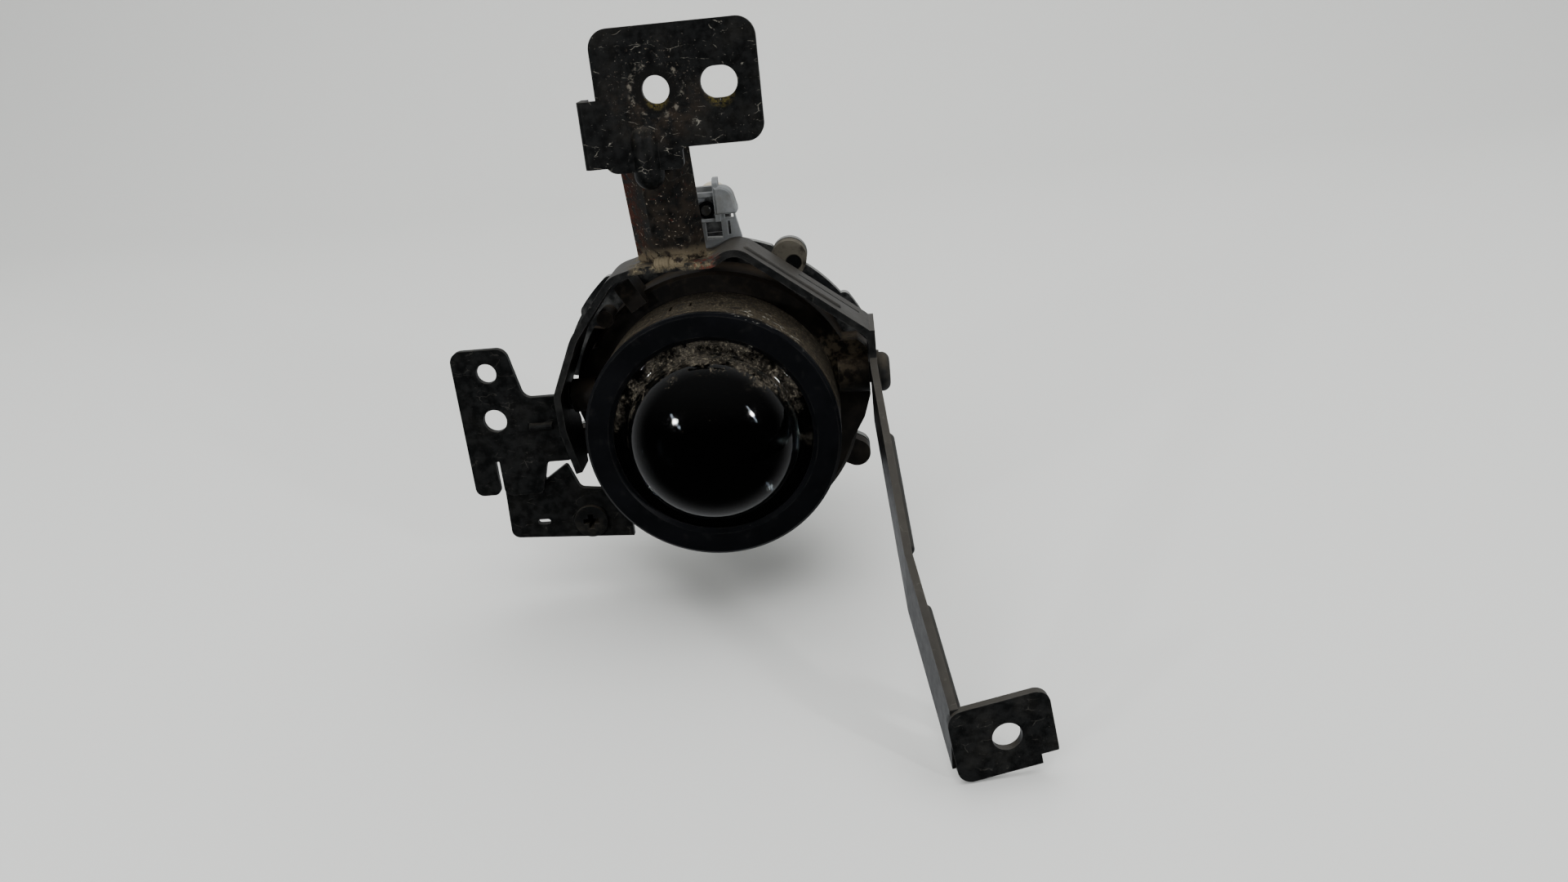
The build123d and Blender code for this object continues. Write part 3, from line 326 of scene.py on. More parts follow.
def coated_steel(name, dust, scratches, bends=0.22, gloss=0.12, extra=None):
    """Black electrocoat on pressed steel: satin black, faintly dusted, scratched, and worn at its edges,
    which also carry a painted highlight.  The lower the value of bends, the shallower the folds that
    show as worn and lit."""
    material, tree, output = blank_material(name)
    place = put(tree, "TexCoord").outputs["Object"]
    film = math_of(tree, "MULTIPLY", blotches(tree, place, 11, 0.45, 0.75, seed=2.0), 0.5 * dust)
    settled = math_of(tree, "MULTIPLY", facing_up(tree, 0.3, 0.9), dust)
    strokes = scribbles(tree, place, 3.6, 0.055, seed=1.3, lean=0.75, stretch=2.6)
    specks = blotches(tree, place, 0.6, 0.7, 0.76, detail=2.0, seed=5.0)
    # pale edges: worn paint, and a painted highlight along folds and cut edges
    edges = worn_and_lit_edges(tree, 0.4, low=0.12 * bends, high=bends)
    edges = math_of(tree, "MULTIPLY", edges, blotches(tree, place, 5, 0.4, 0.62, seed=7))
    layers = [
        (blotches(tree, place, 2.4, 0.38, 0.62), "#131414", 0.46, 0.0),
        (film, "#3d3a34", 0.8, 0.0),
        (settled, "#4b4740", 0.82, 0.0),
        (math_of(tree, "MULTIPLY", strokes, scratches), "#75726a", 0.7, 0.0),
        (math_of(tree, "MULTIPLY", specks, 0.7 * scratches), "#7e7a71", 0.8, 0.02),
        (math_of(tree, "MULTIPLY", edges, 0.55), "#4c4b48", 0.6, 0.0),
    ]
    if extra:
        layers += extra(tree, place)
    layered(tree, output, "#070808", 0.4, layers, grain_mm=1.1, grain_rise_mm=0.035, gloss=gloss)
    return material


mounts = {mount["name"]: Vector(mount["pos_m"]) for mount in frame["record"]["mounts"]}
column_low, column_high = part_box("bracket_column")
weld_low, weld_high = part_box("column_welds")
BAND_TOP = weld_low.z


def plate_dirt(tree, place):
    """Round the bolt hole: a ring rubbed by a washer, brown dirt low on its left, olive in the hole."""
    hole = mounts["upper_bolt"]
    slot_hole = mounts["upper_slot"]
    gap = distance_mm(tree, place, hole)
    parts = put(tree, "SeparateXYZ", {0: place})
    under = span(tree, parts.outputs["Z"], hole.z + 5 * MM, hole.z - 4 * MM)
    patch = math_of(tree, "MULTIPLY", span(tree, gap, 17, 6), under)
    brown = math_of(tree, "MULTIPLY", patch, blotches(tree, place, 5, 0.42, 0.62, seed=21))
    crumbs = blotches(tree, place, 0.8, 0.6, 0.68, seed=23)
    crumbs = math_of(tree, "MULTIPLY", span(tree, gap, 15, 8), crumbs)
    arcs = math_of(tree, "MULTIPLY", span(tree, gap, 5.9, 6.4), span(tree, gap, 7.6, 6.9))
    arcs = math_of(tree, "MULTIPLY", arcs, blotches(tree, place, 1.8, 0.5, 0.62, seed=25))
    clean = math_of(tree, "MULTIPLY", span(tree, gap, 6.2, 5.4), 0.85)
    low_rim = distance_mm(tree, place, hole + Vector((0, 0, -2 * MM)))
    low_slot = distance_mm(tree, place, slot_hole + Vector((0, 0, -2.4 * MM)))
    olive = math_of(tree, "MAXIMUM", span(tree, low_rim, 3.6, 2.4), span(tree, low_slot, 4.4, 3.0))
    olive = math_of(tree, "MULTIPLY", olive, blotches(tree, place, 1.0, 0.42, 0.6, seed=27))
    return [
        (math_of(tree, "MULTIPLY", brown, 0.7), "#2c241c", 0.88, 0.03),
        (math_of(tree, "MULTIPLY", crumbs, 0.75), "#6f665a", 0.92, 0.06),
        (clean, "#0d0d0c", 0.45, 0.0),
        (math_of(tree, "MULTIPLY", arcs, 0.55), "#6f6a60", 0.85, 0.03),
        (math_of(tree, "MULTIPLY", olive, 0.8), "#4b431f", 0.9, 0.03),
    ]


def band_mud(tree, place):
    """Mud caked on the band's flat top round the column, and a little rust at its right end."""
    parts = put(tree, "SeparateXYZ", {0: place})
    x, z = parts.outputs["X"], parts.outputs["Z"]
    across = math_of(tree, "MULTIPLY", span(tree, x, column_low.x - 4 * MM, column_low.x + 1 * MM),
                     span(tree, x, column_high.x + 4 * MM, column_high.x - 1 * MM))
    caked = math_of(tree, "MULTIPLY", across, span(tree, z, BAND_TOP - 2.6 * MM, BAND_TOP - 1.0 * MM))
    mud = math_of(tree, "MULTIPLY", caked, blotches(tree, place, 3.4, 0.4, 0.58, seed=31))
    pale = math_of(tree, "MULTIPLY", mud, blotches(tree, place, 1.0, 0.45, 0.65, seed=33))
    corner = Vector((column_high.x, weld_high.y, BAND_TOP))
    red = math_of(tree, "MULTIPLY", span(tree, distance_mm(tree, place, corner), 5.5, 2.0),
                  blotches(tree, place, 1.6, 0.5, 0.6, seed=35))
    return [
        (math_of(tree, "MULTIPLY", mud, 0.9), "#4e4636", 0.95, 0.2),
        (math_of(tree, "MULTIPLY", pale, 0.8), "#857a61", 0.95, 0.1),
        (math_of(tree, "MULTIPLY", red, 0.8), "#5a2016", 0.9, 0.05),
    ]


band_steel = coated_steel("black_electrocoat_on_pressed_band", dust=0.35, scratches=0.2, gloss=0.4,
                          extra=band_mud)
plate_steel = coated_steel("black_electrocoat_on_bolt_plate", dust=0.3, scratches=0.8, extra=plate_dirt)
side_steel = coated_steel("black_electrocoat_on_side_plate", dust=0.15, scratches=0.15)
dress(softened("bracket_band", 0.35), band_steel, "bracket", "painted_steel", "bracket_band")
dress(softened("upper_plate", 0.35), plate_steel, "bracket", "painted_steel", "upper_plate")
dress(softened("side_plate", 0.35), side_steel, "bracket", "painted_steel", "side_plate")
dress(softened("lower_tab", 0.35), side_steel, "bracket", "painted_steel", "lower_tab")

# ---- column: folded channel between the band and the upper plate ---------------------------------
# The same two-millimetre sheet, folded to a shallow channel and welded at both ends.  The heat
# burnt the coat, so brown rust runs down its left edge, and road mud has caked at its foot.


def column_rust(tree, place):
    """Brown film all over, flaking red rust down the left edge, and mud where the column is welded."""
    parts = put(tree, "SeparateXYZ", {0: place})
    x, z = parts.outputs["X"], parts.outputs["Z"]
    film = blotches(tree, place, 4, 0.38, 0.68, detail=9, seed=41)
    left = span(tree, x, column_low.x + 5.5 * MM, column_low.x + 0.5 * MM)
    flakes = math_of(tree, "MULTIPLY", left, blotches(tree, place, 2.2, 0.44, 0.54, detail=8, seed=43))
    spots = blotches(tree, place, 1.8, 0.64, 0.7, detail=5, seed=45)
    crumbs = blotches(tree, place, 0.8, 0.64, 0.7, detail=3, seed=47)
    low = span(tree, z, BAND_TOP + 5.5 * MM, BAND_TOP + 0.5 * MM)
    mud = math_of(tree, "MULTIPLY", low, blotches(tree, place, 2.6, 0.36, 0.52, seed=49))
    return [
        (math_of(tree, "MULTIPLY", film, 0.75), "#2b241d", 0.8, 0.02),
        (math_of(tree, "MULTIPLY", spots, 0.7), "#4a2218", 0.9, 0.05),
        (math_of(tree, "MULTIPLY", flakes, 0.8), "#3f221a", 0.92, 0.12),
        (math_of(tree, "MULTIPLY", crumbs, 0.6), "#8a8073", 0.92, 0.05),
        (math_of(tree, "MULTIPLY", mud, 0.9), "#6d6350", 0.95, 0.2),
    ]


column_steel = coated_steel("burnt_electrocoat_with_rust", dust=0.25, scratches=0.35, bends=0.07,
                            extra=column_rust)
dress(softened("bracket_column", 0.3), column_steel, "bracket", "rusty_steel", "bracket_column")

# ---- column welds: two short fillet beads across the column's foot -------------------------------
# Laid by a wire welder along the seam as a row of overlapping puddles, one near each edge of the
# column.  They have never been ground and are as scaled and rusty as the steel beside them.
BEAD_RADIUS = 1.7 * MM
BEAD_LENGTH = 4.6 * MM
BEAD_OVERHANG = 0.6 * MM
BEAD_RIPPLE = 0.9 * MM
BEAD_Y = weld_high.y - 0.9 * MM
BEAD_Z = weld_low.z + 0.5 * MM
FIRST_BEAD_SEED = 40


def closed_surface(name, grid):
    """A surface of quads between the rows of a grid of points, each row closed on itself: point j
    of row i joins point j + 1 and their two neighbours in row i + 1.  Pinched or open ends are
    closed, doubled points merged and all faces turned outwards."""
    rows, columns = grid.shape[:2]
    i, j = np.meshgrid(np.arange(rows - 1), np.arange(columns), indexing="ij")
    k = (j + 1) % columns
    faces = np.stack([i * columns + j, i * columns + k, (i + 1) * columns + k, (i + 1) * columns + j], -1)
    piece = mesh_object(name, grid, faces.reshape(-1, 4))
    work = bmesh.new()
    work.from_mesh(piece.data)
    bmesh.ops.remove_doubles(work, verts=work.verts, dist=0.001 * MM)
    bmesh.ops.dissolve_degenerate(work, edges=work.edges, dist=0.0005 * MM)
    bmesh.ops.holes_fill(work, edges=[edge for edge in work.edges if edge.is_boundary], sides=0)
    bmesh.ops.recalc_face_normals(work, faces=work.faces)
    work.to_mesh(piece.data)
    work.free()
    return piece


def weld_bead(name, left, seed):
    """A round bead along X from its left end: at station t its radius is BEAD_RADIUS times
    sqrt(1 - (2t - 1)^6), swollen once for each puddle, and its ring leans like a laid coin."""
    rng = np.random.default_rng(seed)
    t = np.linspace(0, 1, 81)[:, None]
    a = np.linspace(0, 2 * np.pi, 33)[None, :-1]
    puddles = 1 + 0.13 * np.abs(np.sin(np.pi * t * BEAD_LENGTH / BEAD_RIPPLE)) + rng.normal(0, 0.02, t.shape)
    size = BEAD_RADIUS * puddles * np.sqrt(np.clip(1 - (2 * t - 1) ** 6, 0.0, 1))
    x = left + t * BEAD_LENGTH + 0.35 * BEAD_RADIUS * np.cos(a)
    y = BEAD_Y + size * np.cos(a)
    z = BEAD_Z + size * np.sin(a)
    return closed_surface(name, np.stack(np.broadcast_arrays(x, y, z), -1))


bead_ends = (weld_low.x - BEAD_OVERHANG, weld_high.x + BEAD_OVERHANG - BEAD_LENGTH)
for number, bead_left in enumerate(bead_ends):
    bead = weld_bead(f"weld_bead_{number + 1}", bead_left, FIRST_BEAD_SEED + number)
    dress(bead, column_steel, "bracket", "rusty_steel", "column_welds")

# ---- screw grommet: push-in nut in the lower tab -------------------------------------------------
# A push-in nut that snaps into the tab's hole and takes a screw from the bumper.  It is moulded in
# black nylon, with a raised collar and a cross-shaped mouth, and shines a little on its rim.


def moulded_plastic(name, body, sheen, dust, roughness, dust_colour="#5e574b", up_dust=0.5,
                    edge="#45443f", grain_rise_mm=0.025, gloss=0.15, extra=None):
    """Injection-moulded plastic: fine spark-eroded grain, soft sheen, dust in patches and on top, and
    pale edges that are partly worn and partly a painted highlight.
    """
    material, tree, output = blank_material(name)
    place = put(tree, "TexCoord").outputs["Object"]
    film = math_of(tree, "MULTIPLY", blotches(tree, place, 6, 0.42, 0.7, detail=9, seed=3.0), dust)
    settled = math_of(tree, "MULTIPLY", facing_up(tree, 0.2, 0.95), up_dust)
    layers = [
        (blotches(tree, place, 9, 0.35, 0.7, seed=1.0), sheen, roughness + 0.05, 0.0),
        (film, dust_colour, 0.85, 0.01),
        (settled, dust_colour, 0.88, 0.01),
        # pale edges: partly wear, partly a painted highlight
        (math_of(tree, "MULTIPLY", worn_and_lit_edges(tree, 0.35), 0.4), edge, 0.6, 0.0),
    ]
    if extra:
        layers += extra(tree, place)
    layered(tree, output, body, roughness, layers, grain_mm=0.6, grain_rise_mm=grain_rise_mm, gloss=gloss)
    return material


black_nylon = moulded_plastic("black_nylon_moulded", "#0b0c0c", "#121313", 0.12, roughness=0.38,
                              up_dust=0.2)
dress(softened("screw_grommet", 0.25), black_nylon, "bracket", "black_nylon", "screw_grommet")

# ---- adjuster holder: moulded stand that carries the aim screw -----------------------------------
# It stands on the bracket behind the column.  It is dusty black glass-filled nylon, painted a cool light
# grey that stands for reflected light, with paler edges as a painted highlight and brown dirt in patches.
# painted reflection: the light grey body and sheen stand for light on dusty black plastic
sheen_painted_dusty_nylon = moulded_plastic("glass_filled_nylon_with_painted_sheen", "#66696a", "#85888a", 0.4,
                                  roughness=0.55, dust_colour="#5b5448", up_dust=0.1, edge="#a9acab",
                                  gloss=0.5)
dress(softened("adjuster_holder", 0.3), sheen_painted_dusty_nylon, "bracket", "housing_plastic", "adjuster_holder")

# ---- right pivot: domed screw over a thin washer -------------------------------------------------
# The lamp tilts on this screw, which goes through the band's right-hand end and a nylon washer as
# thin as a card.  It is turned steel, coated a rough matt black.  The band's left-hand end holds a
# nylon bush for the pin on that side.
pivot_black = moulded_plastic("black_oxide_on_screw", "#121314", "#1b1c1d", 0.15, roughness=0.55,
                              up_dust=0.25, grain_rise_mm=0.09)
dress(softened("right_pivot_screw", 0.2), pivot_black, "bracket", "black_screw", "right_pivot_screw")
dress(softened("right_pivot_washer", 0.12), black_nylon, "bracket", "black_nylon", "right_pivot_washer")
dress(softened("left_pivot_bush", 0.12), black_nylon, "bracket", "black_nylon", "left_pivot_bush")

# ---- left pivot pin: turned steel, pressed into the lens holder ----------------------------------
# A plain turned pin that runs in the bush of the band's left-hand end.  Zinc plating gives it a
# cloudy grey shine, dulled by grime.


def plated_steel(name, body="#8d8f90", tint="#a09a86", roughness=0.34, grime="#3a342b"):
    """Plated steel: grey metal with faint passivate clouds, fine grain and dirt in patches."""
    material, tree, output = blank_material(name)
    place = put(tree, "TexCoord").outputs["Object"]
    cloud = math_of(tree, "MULTIPLY", blotches(tree, place, 3, 0.35, 0.7, seed=2.0), 0.6)
    dirt = math_of(tree, "MULTIPLY", blotches(tree, place, 1.8, 0.5, 0.68, seed=4.0), 0.6)
    layers = [(cloud, tint, roughness, 0.0), (dirt, grime, 0.75, 0.01)]
    layered(tree, output, body, roughness, layers, grain_mm=0.4, grain_rise_mm=0.012, gloss=0.5,
            metallic=1.0)
    return material


zinc = plated_steel("zinc_plated_turned_steel")
dress(softened("left_pivot_pin", 0.2), zinc, "lamp", "zinc_steel", "left_pivot_pin")

# ---- lens rim: black front ring with a skirt and three snap tongues ------------------------------
# Satin ABS, moulded in one, almost blue-black and clean on its face; the skirt behind, which snaps
# over the holder, has never been wiped and carries a beige crust of road mud with darker stains.
RIM_FACE = 0.8 * MM
SCORED_CORNER = Vector((18 * MM, 2 * MM, 30 * MM))


def rim_abs():
    """Satin moulded ABS whose outer wall, behind the front face, is coated in speckled beige mud."""
    material, tree, output = blank_material("satin_abs_with_muddy_skirt")
    place = put(tree, "TexCoord").outputs["Object"]
    parts = put(tree, "SeparateXYZ", {0: place})
    back = span(tree, parts.outputs["Y"], RIM_FACE + 0.3 * MM, RIM_FACE + 3.2 * MM)
    tall = put(tree, "MapRange", {"Value": parts.outputs["Z"], "From Min": -0.03, "From Max": 0.03,
                                  "To Min": 0.25, "To Max": 1.0}).outputs[0]
    coverage = math_of(tree, "ADD", blotches(tree, place, 2.4, 0.34, 0.56, detail=9, seed=6), 0.35)
    crust = math_of(tree, "MULTIPLY", math_of(tree, "MULTIPLY", back, tall), coverage)
    crumbs = math_of(tree, "MULTIPLY", crust, blotches(tree, place, 0.7, 0.5, 0.66, detail=3, seed=9))
    stains = math_of(tree, "MULTIPLY", crust, blotches(tree, place, 3.5, 0.52, 0.68, seed=10))
    smudge = math_of(tree, "MULTIPLY", blotches(tree, place, 4, 0.55, 0.75, detail=8, seed=4.0), 0.25)
    corner = distance_mm(tree, place, SCORED_CORNER)
    scored = math_of(tree, "MULTIPLY", scribbles(tree, place, 2.6, 0.1, seed=2.5, lean=0.7, stretch=2.0),
                     span(tree, corner, 14, 8))
    scored = math_of(tree, "MULTIPLY", scored, span(tree, parts.outputs["Y"], 0.15 * MM, 0.5 * MM))
    # pale edges: partly wear, partly a painted highlight along the rim
    edges = math_of(tree, "MULTIPLY", worn_and_lit_edges(tree, 0.35), blotches(tree, place, 6, 0.38, 0.6, seed=8))
    layers = [
        (blotches(tree, place, 14, 0.35, 0.7, seed=0.5), "#090a0d", 0.42, 0.0),
        (smudge, "#2a2826", 0.6, 0.0),
        (blotches(tree, place, 0.5, 0.74, 0.78, detail=2.0, seed=12), "#5f5c56", 0.8, 0.02),
        (math_of(tree, "MULTIPLY", edges, 0.5), "#55544f", 0.6, 0.0),
        (math_of(tree, "MULTIPLY", crust, 0.92), "#39342b", 0.95, 0.08),
        (math_of(tree, "MULTIPLY", crumbs, 0.7), "#6b6352", 0.95, 0.12),
        (math_of(tree, "MULTIPLY", stains, 0.6), "#2a241d", 0.95, 0.0),
        (math_of(tree, "MULTIPLY", scored, 0.9), "#a8a69c", 0.8, 0.03),
    ]
    layered(tree, output, "#050608", 0.4, layers, grain_mm=0.7, grain_rise_mm=0.02, gloss=0.14)
    return material


dress(softened("lens_rim", 0.3, angle_deg=28), rim_abs(), "lamp", "rim_plastic", "lens_rim")

# ---- projector lens: thick pressed-glass dome on a stepped flange --------------------------------
# Clear glass, pressed in a mould and polished on the dome, clamped by its flange under the rim.
# Grit has packed into the corner there: dense at the top, speckled down the sides, thin below.
lens_low, lens_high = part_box("projector_lens")
DOME_R = 24.3 * MM
DOME_BASE = 1.0 * MM
FLANGE_R = 28.0 * MM
SEAT_R = 30.6 * MM
SEAT_Y = 2.2 * MM
LENS_BACK = lens_high.y
ROOT_FILLET = 1.4 * MM
EDGE_ROUND = 0.45 * MM
LENS_SEGMENTS = 192


def lens_profile():
    """Radii and depths of the lens: a quarter ellipse for the dome, a hollow fillet into the flange,
    the flange's rounded edge, the step's, the back's, and the flat back in to the middle."""
    rise = DOME_BASE - lens_low.y
    t = np.linspace(0, np.arccos(ROOT_FILLET / rise), 70)
    dome = np.stack([DOME_R * np.sin(t), DOME_BASE - rise * np.cos(t)], 1)
    bend = np.linspace(0, np.pi / 2, 9)
    root = np.stack([dome[-1, 0] + ROOT_FILLET * (1 - np.cos(bend[1:])),
                     DOME_BASE - ROOT_FILLET * (1 - np.sin(bend[1:]))], 1)
    inset = EDGE_ROUND * (1 - np.sin(bend))
    drop = EDGE_ROUND * (1 - np.cos(bend))
    outer = np.stack([FLANGE_R - inset, DOME_BASE + drop], 1)
    step = np.array([[FLANGE_R, SEAT_Y]])
    seat = np.stack([SEAT_R - inset, SEAT_Y + drop], 1)
    back = np.stack([SEAT_R - drop, LENS_BACK - inset], 1)
    flat = np.stack([np.linspace(SEAT_R - EDGE_ROUND, 0, 12)[1:], np.full(11, LENS_BACK)], 1)
    return np.concatenate([dome, root, outer, step, seat, back, flat]).T[:, :, None]


def glass_lens():
    """The lens profile swept round the beam: (r cos a, y, r sin a) for each radius, depth and angle."""
    r, y = lens_profile()
    a = np.linspace(0, 2 * np.pi, LENS_SEGMENTS, endpoint=False)[None, :]
    grid = np.stack(np.broadcast_arrays(r * np.cos(a), y, r * np.sin(a)), -1)
    piece = closed_surface("glass_dome", grid)
    piece.data.set_sharp_from_angle(angle=np.radians(50))
    return piece


def pressed_glass():
    """Clear pressed glass, dark over the unlit inside, with packed grit near the rim and stray specks."""
    material, tree, output = blank_material("clear_pressed_glass_with_grit")
    place = put(tree, "TexCoord").outputs["Object"]
    parts = put(tree, "SeparateXYZ", {0: place})
    flat = put(tree, "CombineXYZ", {"X": parts.outputs["X"], "Z": parts.outputs["Z"]})
    radius = put(tree, "VectorMath", {0: flat.outputs[0]}, operation="LENGTH").outputs["Value"]
    upward = put(tree, "Math", {0: parts.outputs["Z"], 1: radius}, operation="DIVIDE").outputs[0]
    fine = put(tree, "TexNoise", {"Vector": place, "Scale": 1 / MM, "Detail": 9.0, "Roughness": 0.75})
    broad = put(tree, "TexNoise", {"Vector": place, "Scale": 1 / (5 * MM), "Detail": 4.0})
    grain = put(tree, "Math", {0: fine.outputs[0], 1: broad.outputs[0]}).outputs[0]
    # on the flange: nearly full cover on top, thinning to a sprinkle at the bottom
    ring = span(tree, radius, 21.0 * MM, 23.6 * MM)
    cover = put(tree, "MapRange", {"Value": upward, "From Min": -0.9, "From Max": 0.95,
                                   "To Min": 0.22, "To Max": 0.88}).outputs[0]
    level = put(tree, "MapRange", {"Value": math_of(tree, "MULTIPLY", ring, cover),
                                   "To Min": 1.5, "To Max": 0.72}).outputs[0]
    packed = span(tree, put(tree, "Math", {0: grain, 1: level}, operation="SUBTRACT").outputs[0], 0.0, 0.3)
    # on the dome: a loose fringe that climbs from the flange, highest at the upper left and right
    climb = put(tree, "MapRange", {"Value": radius, "From Min": 14 * MM, "From Max": 23.5 * MM}).outputs[0]
    fringe = math_of(tree, "MULTIPLY", climb, span(tree, upward, -0.1, 0.7))
    level = put(tree, "MapRange", {"Value": fringe, "To Min": 1.5, "To Max": 0.96}).outputs[0]
    loose = span(tree, put(tree, "Math", {0: grain, 1: level}, operation="SUBTRACT").outputs[0], 0.0, 0.12)
    stray = math_of(tree, "MULTIPLY", blotches(tree, place, 0.5, 0.73, 0.77, detail=2.0, seed=12), 0.7)
    packed = math_of(tree, "MULTIPLY", packed, 0.9)
    grit = math_of(tree, "MAXIMUM", packed, math_of(tree, "MAXIMUM", loose, stray))
    pale = blotches(tree, place, 0.7, 0.5, 0.7, seed=3)
    shade = put(tree, "Mix", {0: pale, 6: linear("#2f2b24"), 7: linear("#6f6859")}, data_type="RGBA")
    bump = put(tree, "Bump", {"Height": grit, "Distance": 0.1 * MM, "Strength": 0.6})
    # gravel has pitted the polish, so highlights sparkle and blur a little at their edges
    pits = blotches(tree, place, 0.45, 0.52, 0.66, detail=3.0, seed=14)
    polish = put(tree, "MapRange", {"Value": pits, "To Min": 0.02, "To Max": 0.12})
    dimple = put(tree, "Bump", {"Height": pits, "Distance": 0.004 * MM, "Strength": 0.25})
    glass = put(tree, "BsdfPrincipled", {
        "Base Color": linear("#8c9391"), "Roughness": polish.outputs[0], "IOR": 1.52,
        "Transmission Weight": 1.0, "Normal": dimple.outputs[0], "Specular IOR Level": 0.16,
    })
    dirt = put(tree, "BsdfPrincipled", {"Base Color": shade.outputs[2], "Roughness": 0.95,
                                        "Normal": bump.outputs[0]})
    mixed = put(tree, "MixShader", {0: grit, 1: glass.outputs[0], 2: dirt.outputs[0]})
    tree.links.new(mixed.outputs[0], output.inputs[0])
    return material


dress(glass_lens(), pressed_glass(), "lamp", "clear_glass", "projector_lens")

# ---- seals: lens gasket, housing seal, bulb seal and vent cap ------------------------------------
# A gasket under the lens, a ring between holder and housing, a lip on the bulb's base and a soft cap
# over the vent.  They are moulded rubber, matt and slightly chalky, and push into their grooves; the
# one on the bulb is red-brown silicone.


def soft_rubber(name, body, bloom):
    """Moulded rubber: matt, with a faint pale bloom in patches."""
    material, tree, output = blank_material(name)
    place = put(tree, "TexCoord").outputs["Object"]
    chalk = math_of(tree, "MULTIPLY", blotches(tree, place, 2.5, 0.4, 0.7), 0.5)
    layered(tree, output, body, 0.75, [(chalk, bloom, 0.85, 0.0)], grain_mm=0.5, grain_rise_mm=0.03)
    return material


black_rubber = soft_rubber("black_epdm_rubber", "#121212", "#2b2a28")
red_silicone = soft_rubber("red_silicone_rubber", "#5c1d12", "#7a3527")
dress(softened("lens_gasket", 0.2), black_rubber, "lamp", "seal_rubber", "lens_gasket")
dress(softened("housing_seal", 0.15), black_rubber, "lamp", "seal_rubber", "housing_seal")
dress(softened("vent_cap", 0.4), black_rubber, "lamp", "seal_rubber", "vent_cap")
dress(softened("bulb_seal", 0.3), red_silicone, "bulb", "bulb_seal_rubber", "bulb_seal")

# ---- lens holder: tube, cup, pivot bosses and ears -----------------------------------------------
# One moulding that carries the lens in front and takes the housing's three screws behind.  It is
# talc-filled polypropylene, black under a brown-beige film that is thickest on its upper half.
EAR_AT = Vector((24 * MM, 33.5 * MM, 41.6 * MM))  # front of the upper right screw ear
PACKED_AT = Vector((36 * MM, 25 * MM, 13 * MM))  # mud behind the skirt, on the right
TUNNEL_R = 32 * MM


def holder_mud(tree, place):
    """Beige mud behind the right-hand side of the skirt and on the cup, grey patches on an ear with
    painted shade in its recess, and painted shade inside the light tunnel."""
    parts = put(tree, "SeparateXYZ", {0: place})
    side = distance_mm(tree, place, PACKED_AT)
    packed = blotches(tree, place, 2.2, 0.42, 0.6, seed=51)
    packed = math_of(tree, "MULTIPLY", span(tree, side, 12, 5), packed)
    top = math_of(tree, "MULTIPLY", span(tree, parts.outputs["Z"], 0.02, 0.04),
                  blotches(tree, place, 3.0, 0.5, 0.7, seed=53))
    flat = put(tree, "CombineXYZ", {"X": parts.outputs["X"], "Z": parts.outputs["Z"]})
    radius = put(tree, "VectorMath", {0: flat.outputs[0]}, operation="LENGTH").outputs["Value"]
    # painted shade: the light tunnel is kept clean of film and painted darker than the plastic
    inside = span(tree, radius, TUNNEL_R + 0.4 * MM, TUNNEL_R - 0.4 * MM)
    ear = distance_mm(tree, place, EAR_AT)
    # painted shade: a dark dent painted into the ear's recess
    recess = distance_mm(tree, place, EAR_AT + Vector((1.2 * MM, 0, -1.4 * MM)))
    grey = math_of(tree, "MULTIPLY", span(tree, ear, 8, 5), blotches(tree, place, 3, 0.25, 0.5, seed=55))
    return [
        (math_of(tree, "MULTIPLY", top, 0.35), "#3a3127", 0.92, 0.03),
        (math_of(tree, "MULTIPLY", packed, 0.7), "#4d4538", 0.95, 0.1),
        (math_of(tree, "MULTIPLY", grey, 0.8), "#57534a", 0.9, 0.03),
        (span(tree, recess, 2.5, 2.1), "#060606", 0.7, -0.4),
        (inside, "#030303", 0.8, 0.0),
    ]


muddy_holder = moulded_plastic("talc_filled_polypropylene_with_road_film", "#0c0b0a", "#15120f", 0.22,
                               roughness=0.5, dust_colour="#332c24", up_dust=0.4, extra=holder_mud)
dress(softened("lens_holder", 0.35), muddy_holder, "lamp", "holder_plastic", "lens_holder")

# ---- lamp housing: ribbed rear bowl with ears, fork and bulb neck --------------------------------
# The rear bowl, screwed to the holder at three ears, with a fork that guides the aim nut.  It is
# moulded in heat-stable plastic, greyed on top by dust that has settled behind the bracket.
greyed_housing = moulded_plastic("heat_stable_moulded_housing", "#0f1011", "#191a1b", 0.3, roughness=0.48,
                                 dust_colour="#7d7e7c", up_dust=0.9)
dress(softened("lamp_housing", 0.3), greyed_housing, "lamp", "housing_plastic", "lamp_housing")
dress(softened("housing_screws", 0.2), zinc, "lamp", "zinc_steel", "housing_screws")

# ---- cut-off shield and reflector ----------------------------------------------------------------
# The shield is a steel stamping under matt black enamel, which cuts off the top of the beam.  The
# reflector is a lacquered bowl with a bright coat of aluminium.  Both sit between holder and housing.
blackened = moulded_plastic("matt_black_stove_enamel_on_steel", "#050505", "#080808", 0.05, roughness=0.7,
                            up_dust=0.0, edge="#0c0c0c")
dress(softened("cutoff_shield", 0.15), blackened, "lamp", "shield_steel", "cutoff_shield")


def bright_reflector():
    """Vacuum-metallised lacquer: a near mirror with a faint orange peel and a warm heat haze."""
    material, tree, output = blank_material("vacuum_metallised_reflector")
    place = put(tree, "TexCoord").outputs["Object"]
    haze = blotches(tree, place, 12, 0.35, 0.7, seed=2.0)
    layered(tree, output, "#c9cbce", 0.1, [(haze, "#b9b3a6", 0.16, 0.0)], grain_mm=2.0,
            grain_rise_mm=0.006, gloss=0.5, metallic=1.0)
    return material


dress(softened("reflector", 0.1), bright_reflector(), "lamp", "reflector_bright", "reflector")

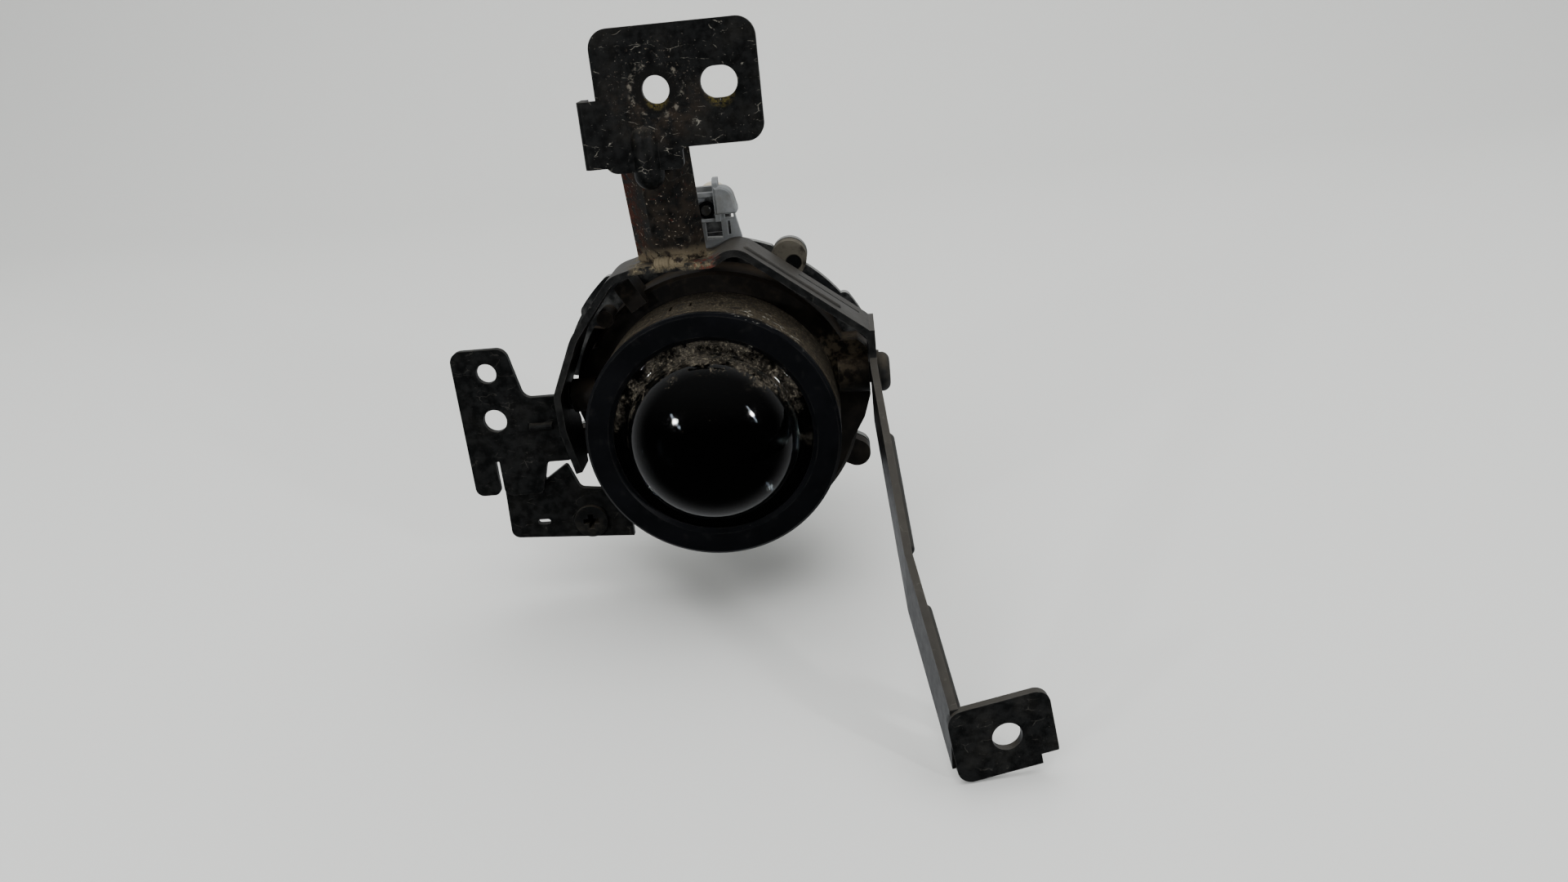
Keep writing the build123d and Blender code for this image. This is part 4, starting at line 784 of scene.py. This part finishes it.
# ---- bulb: moulded base, terminals, collar, glass and filament -----------------------------------
# A twist-in halogen bulb.  Its base is grey-black heat-stable plastic with the connector socket
# below, its blades are tinned brass, and a pressed steel collar holds the quartz envelope.
bulb_plastic = moulded_plastic("heat_stable_bulb_base", "#1c1d20", "#27292c", 0.25, roughness=0.42,
                               dust_colour="#6b665d", up_dust=0.4)
dress(softened("bulb_base", 0.3), bulb_plastic, "bulb", "bulb_plastic", "bulb_base")
tinned = plated_steel("tinned_brass_blades", body="#b9a97a", tint="#c9c4b4", roughness=0.28)
dress(softened("bulb_terminals", 0.15), tinned, "bulb", "terminal_brass", "bulb_terminals")
bright_steel = plated_steel("bright_pressed_steel", body="#a7a9ab", tint="#9a9c9e", roughness=0.2)
dress(softened("bulb_collar", 0.15), bright_steel, "bulb", "collar_steel", "bulb_collar")
glass_material, tree, output = blank_material("clear_quartz_glass")
quartz = put(tree, "BsdfPrincipled", {"Base Color": linear("#eef1f2"), "Roughness": 0.02, "IOR": 1.46,
                                      "Transmission Weight": 1.0})
tree.links.new(quartz.outputs[0], output.inputs[0])
dress(softened("bulb_glass", 0.1, angle_deg=60), glass_material, "bulb", "clear_glass", "bulb_glass")
tungsten = plated_steel("drawn_tungsten_wire", body="#5c5c5e", tint="#6a6866", roughness=0.4)
dress(softened("bulb_filament", 0.05), tungsten, "bulb", "filament_wire", "bulb_filament")

# ---- aim adjuster: screw, clip and nut -----------------------------------------------------------
# A zinc-plated screw turns in the bracket's holder, where a spring clip keeps it, and a natural nylon
# nut travels along it inside the housing's fork and tilts the lamp.
dress(softened("aim_screw", 0.12), zinc, "aim_screw", "zinc_steel", "aim_screw")
spring_steel = plated_steel("blued_spring_steel", body="#3d4148", tint="#4b4a45", roughness=0.35)
dress(softened("aim_screw_clip", 0.12), spring_steel, "aim_screw", "spring_steel", "aim_screw_clip")
natural_nylon = moulded_plastic("natural_nylon", "#cfc8b4", "#d9d3c2", 0.3, roughness=0.4,
                                dust_colour="#8f8672", edge="#e2ddce")
dress(softened("aim_nut", 0.3), natural_nylon, "aim_nut", "white_nylon", "aim_nut")
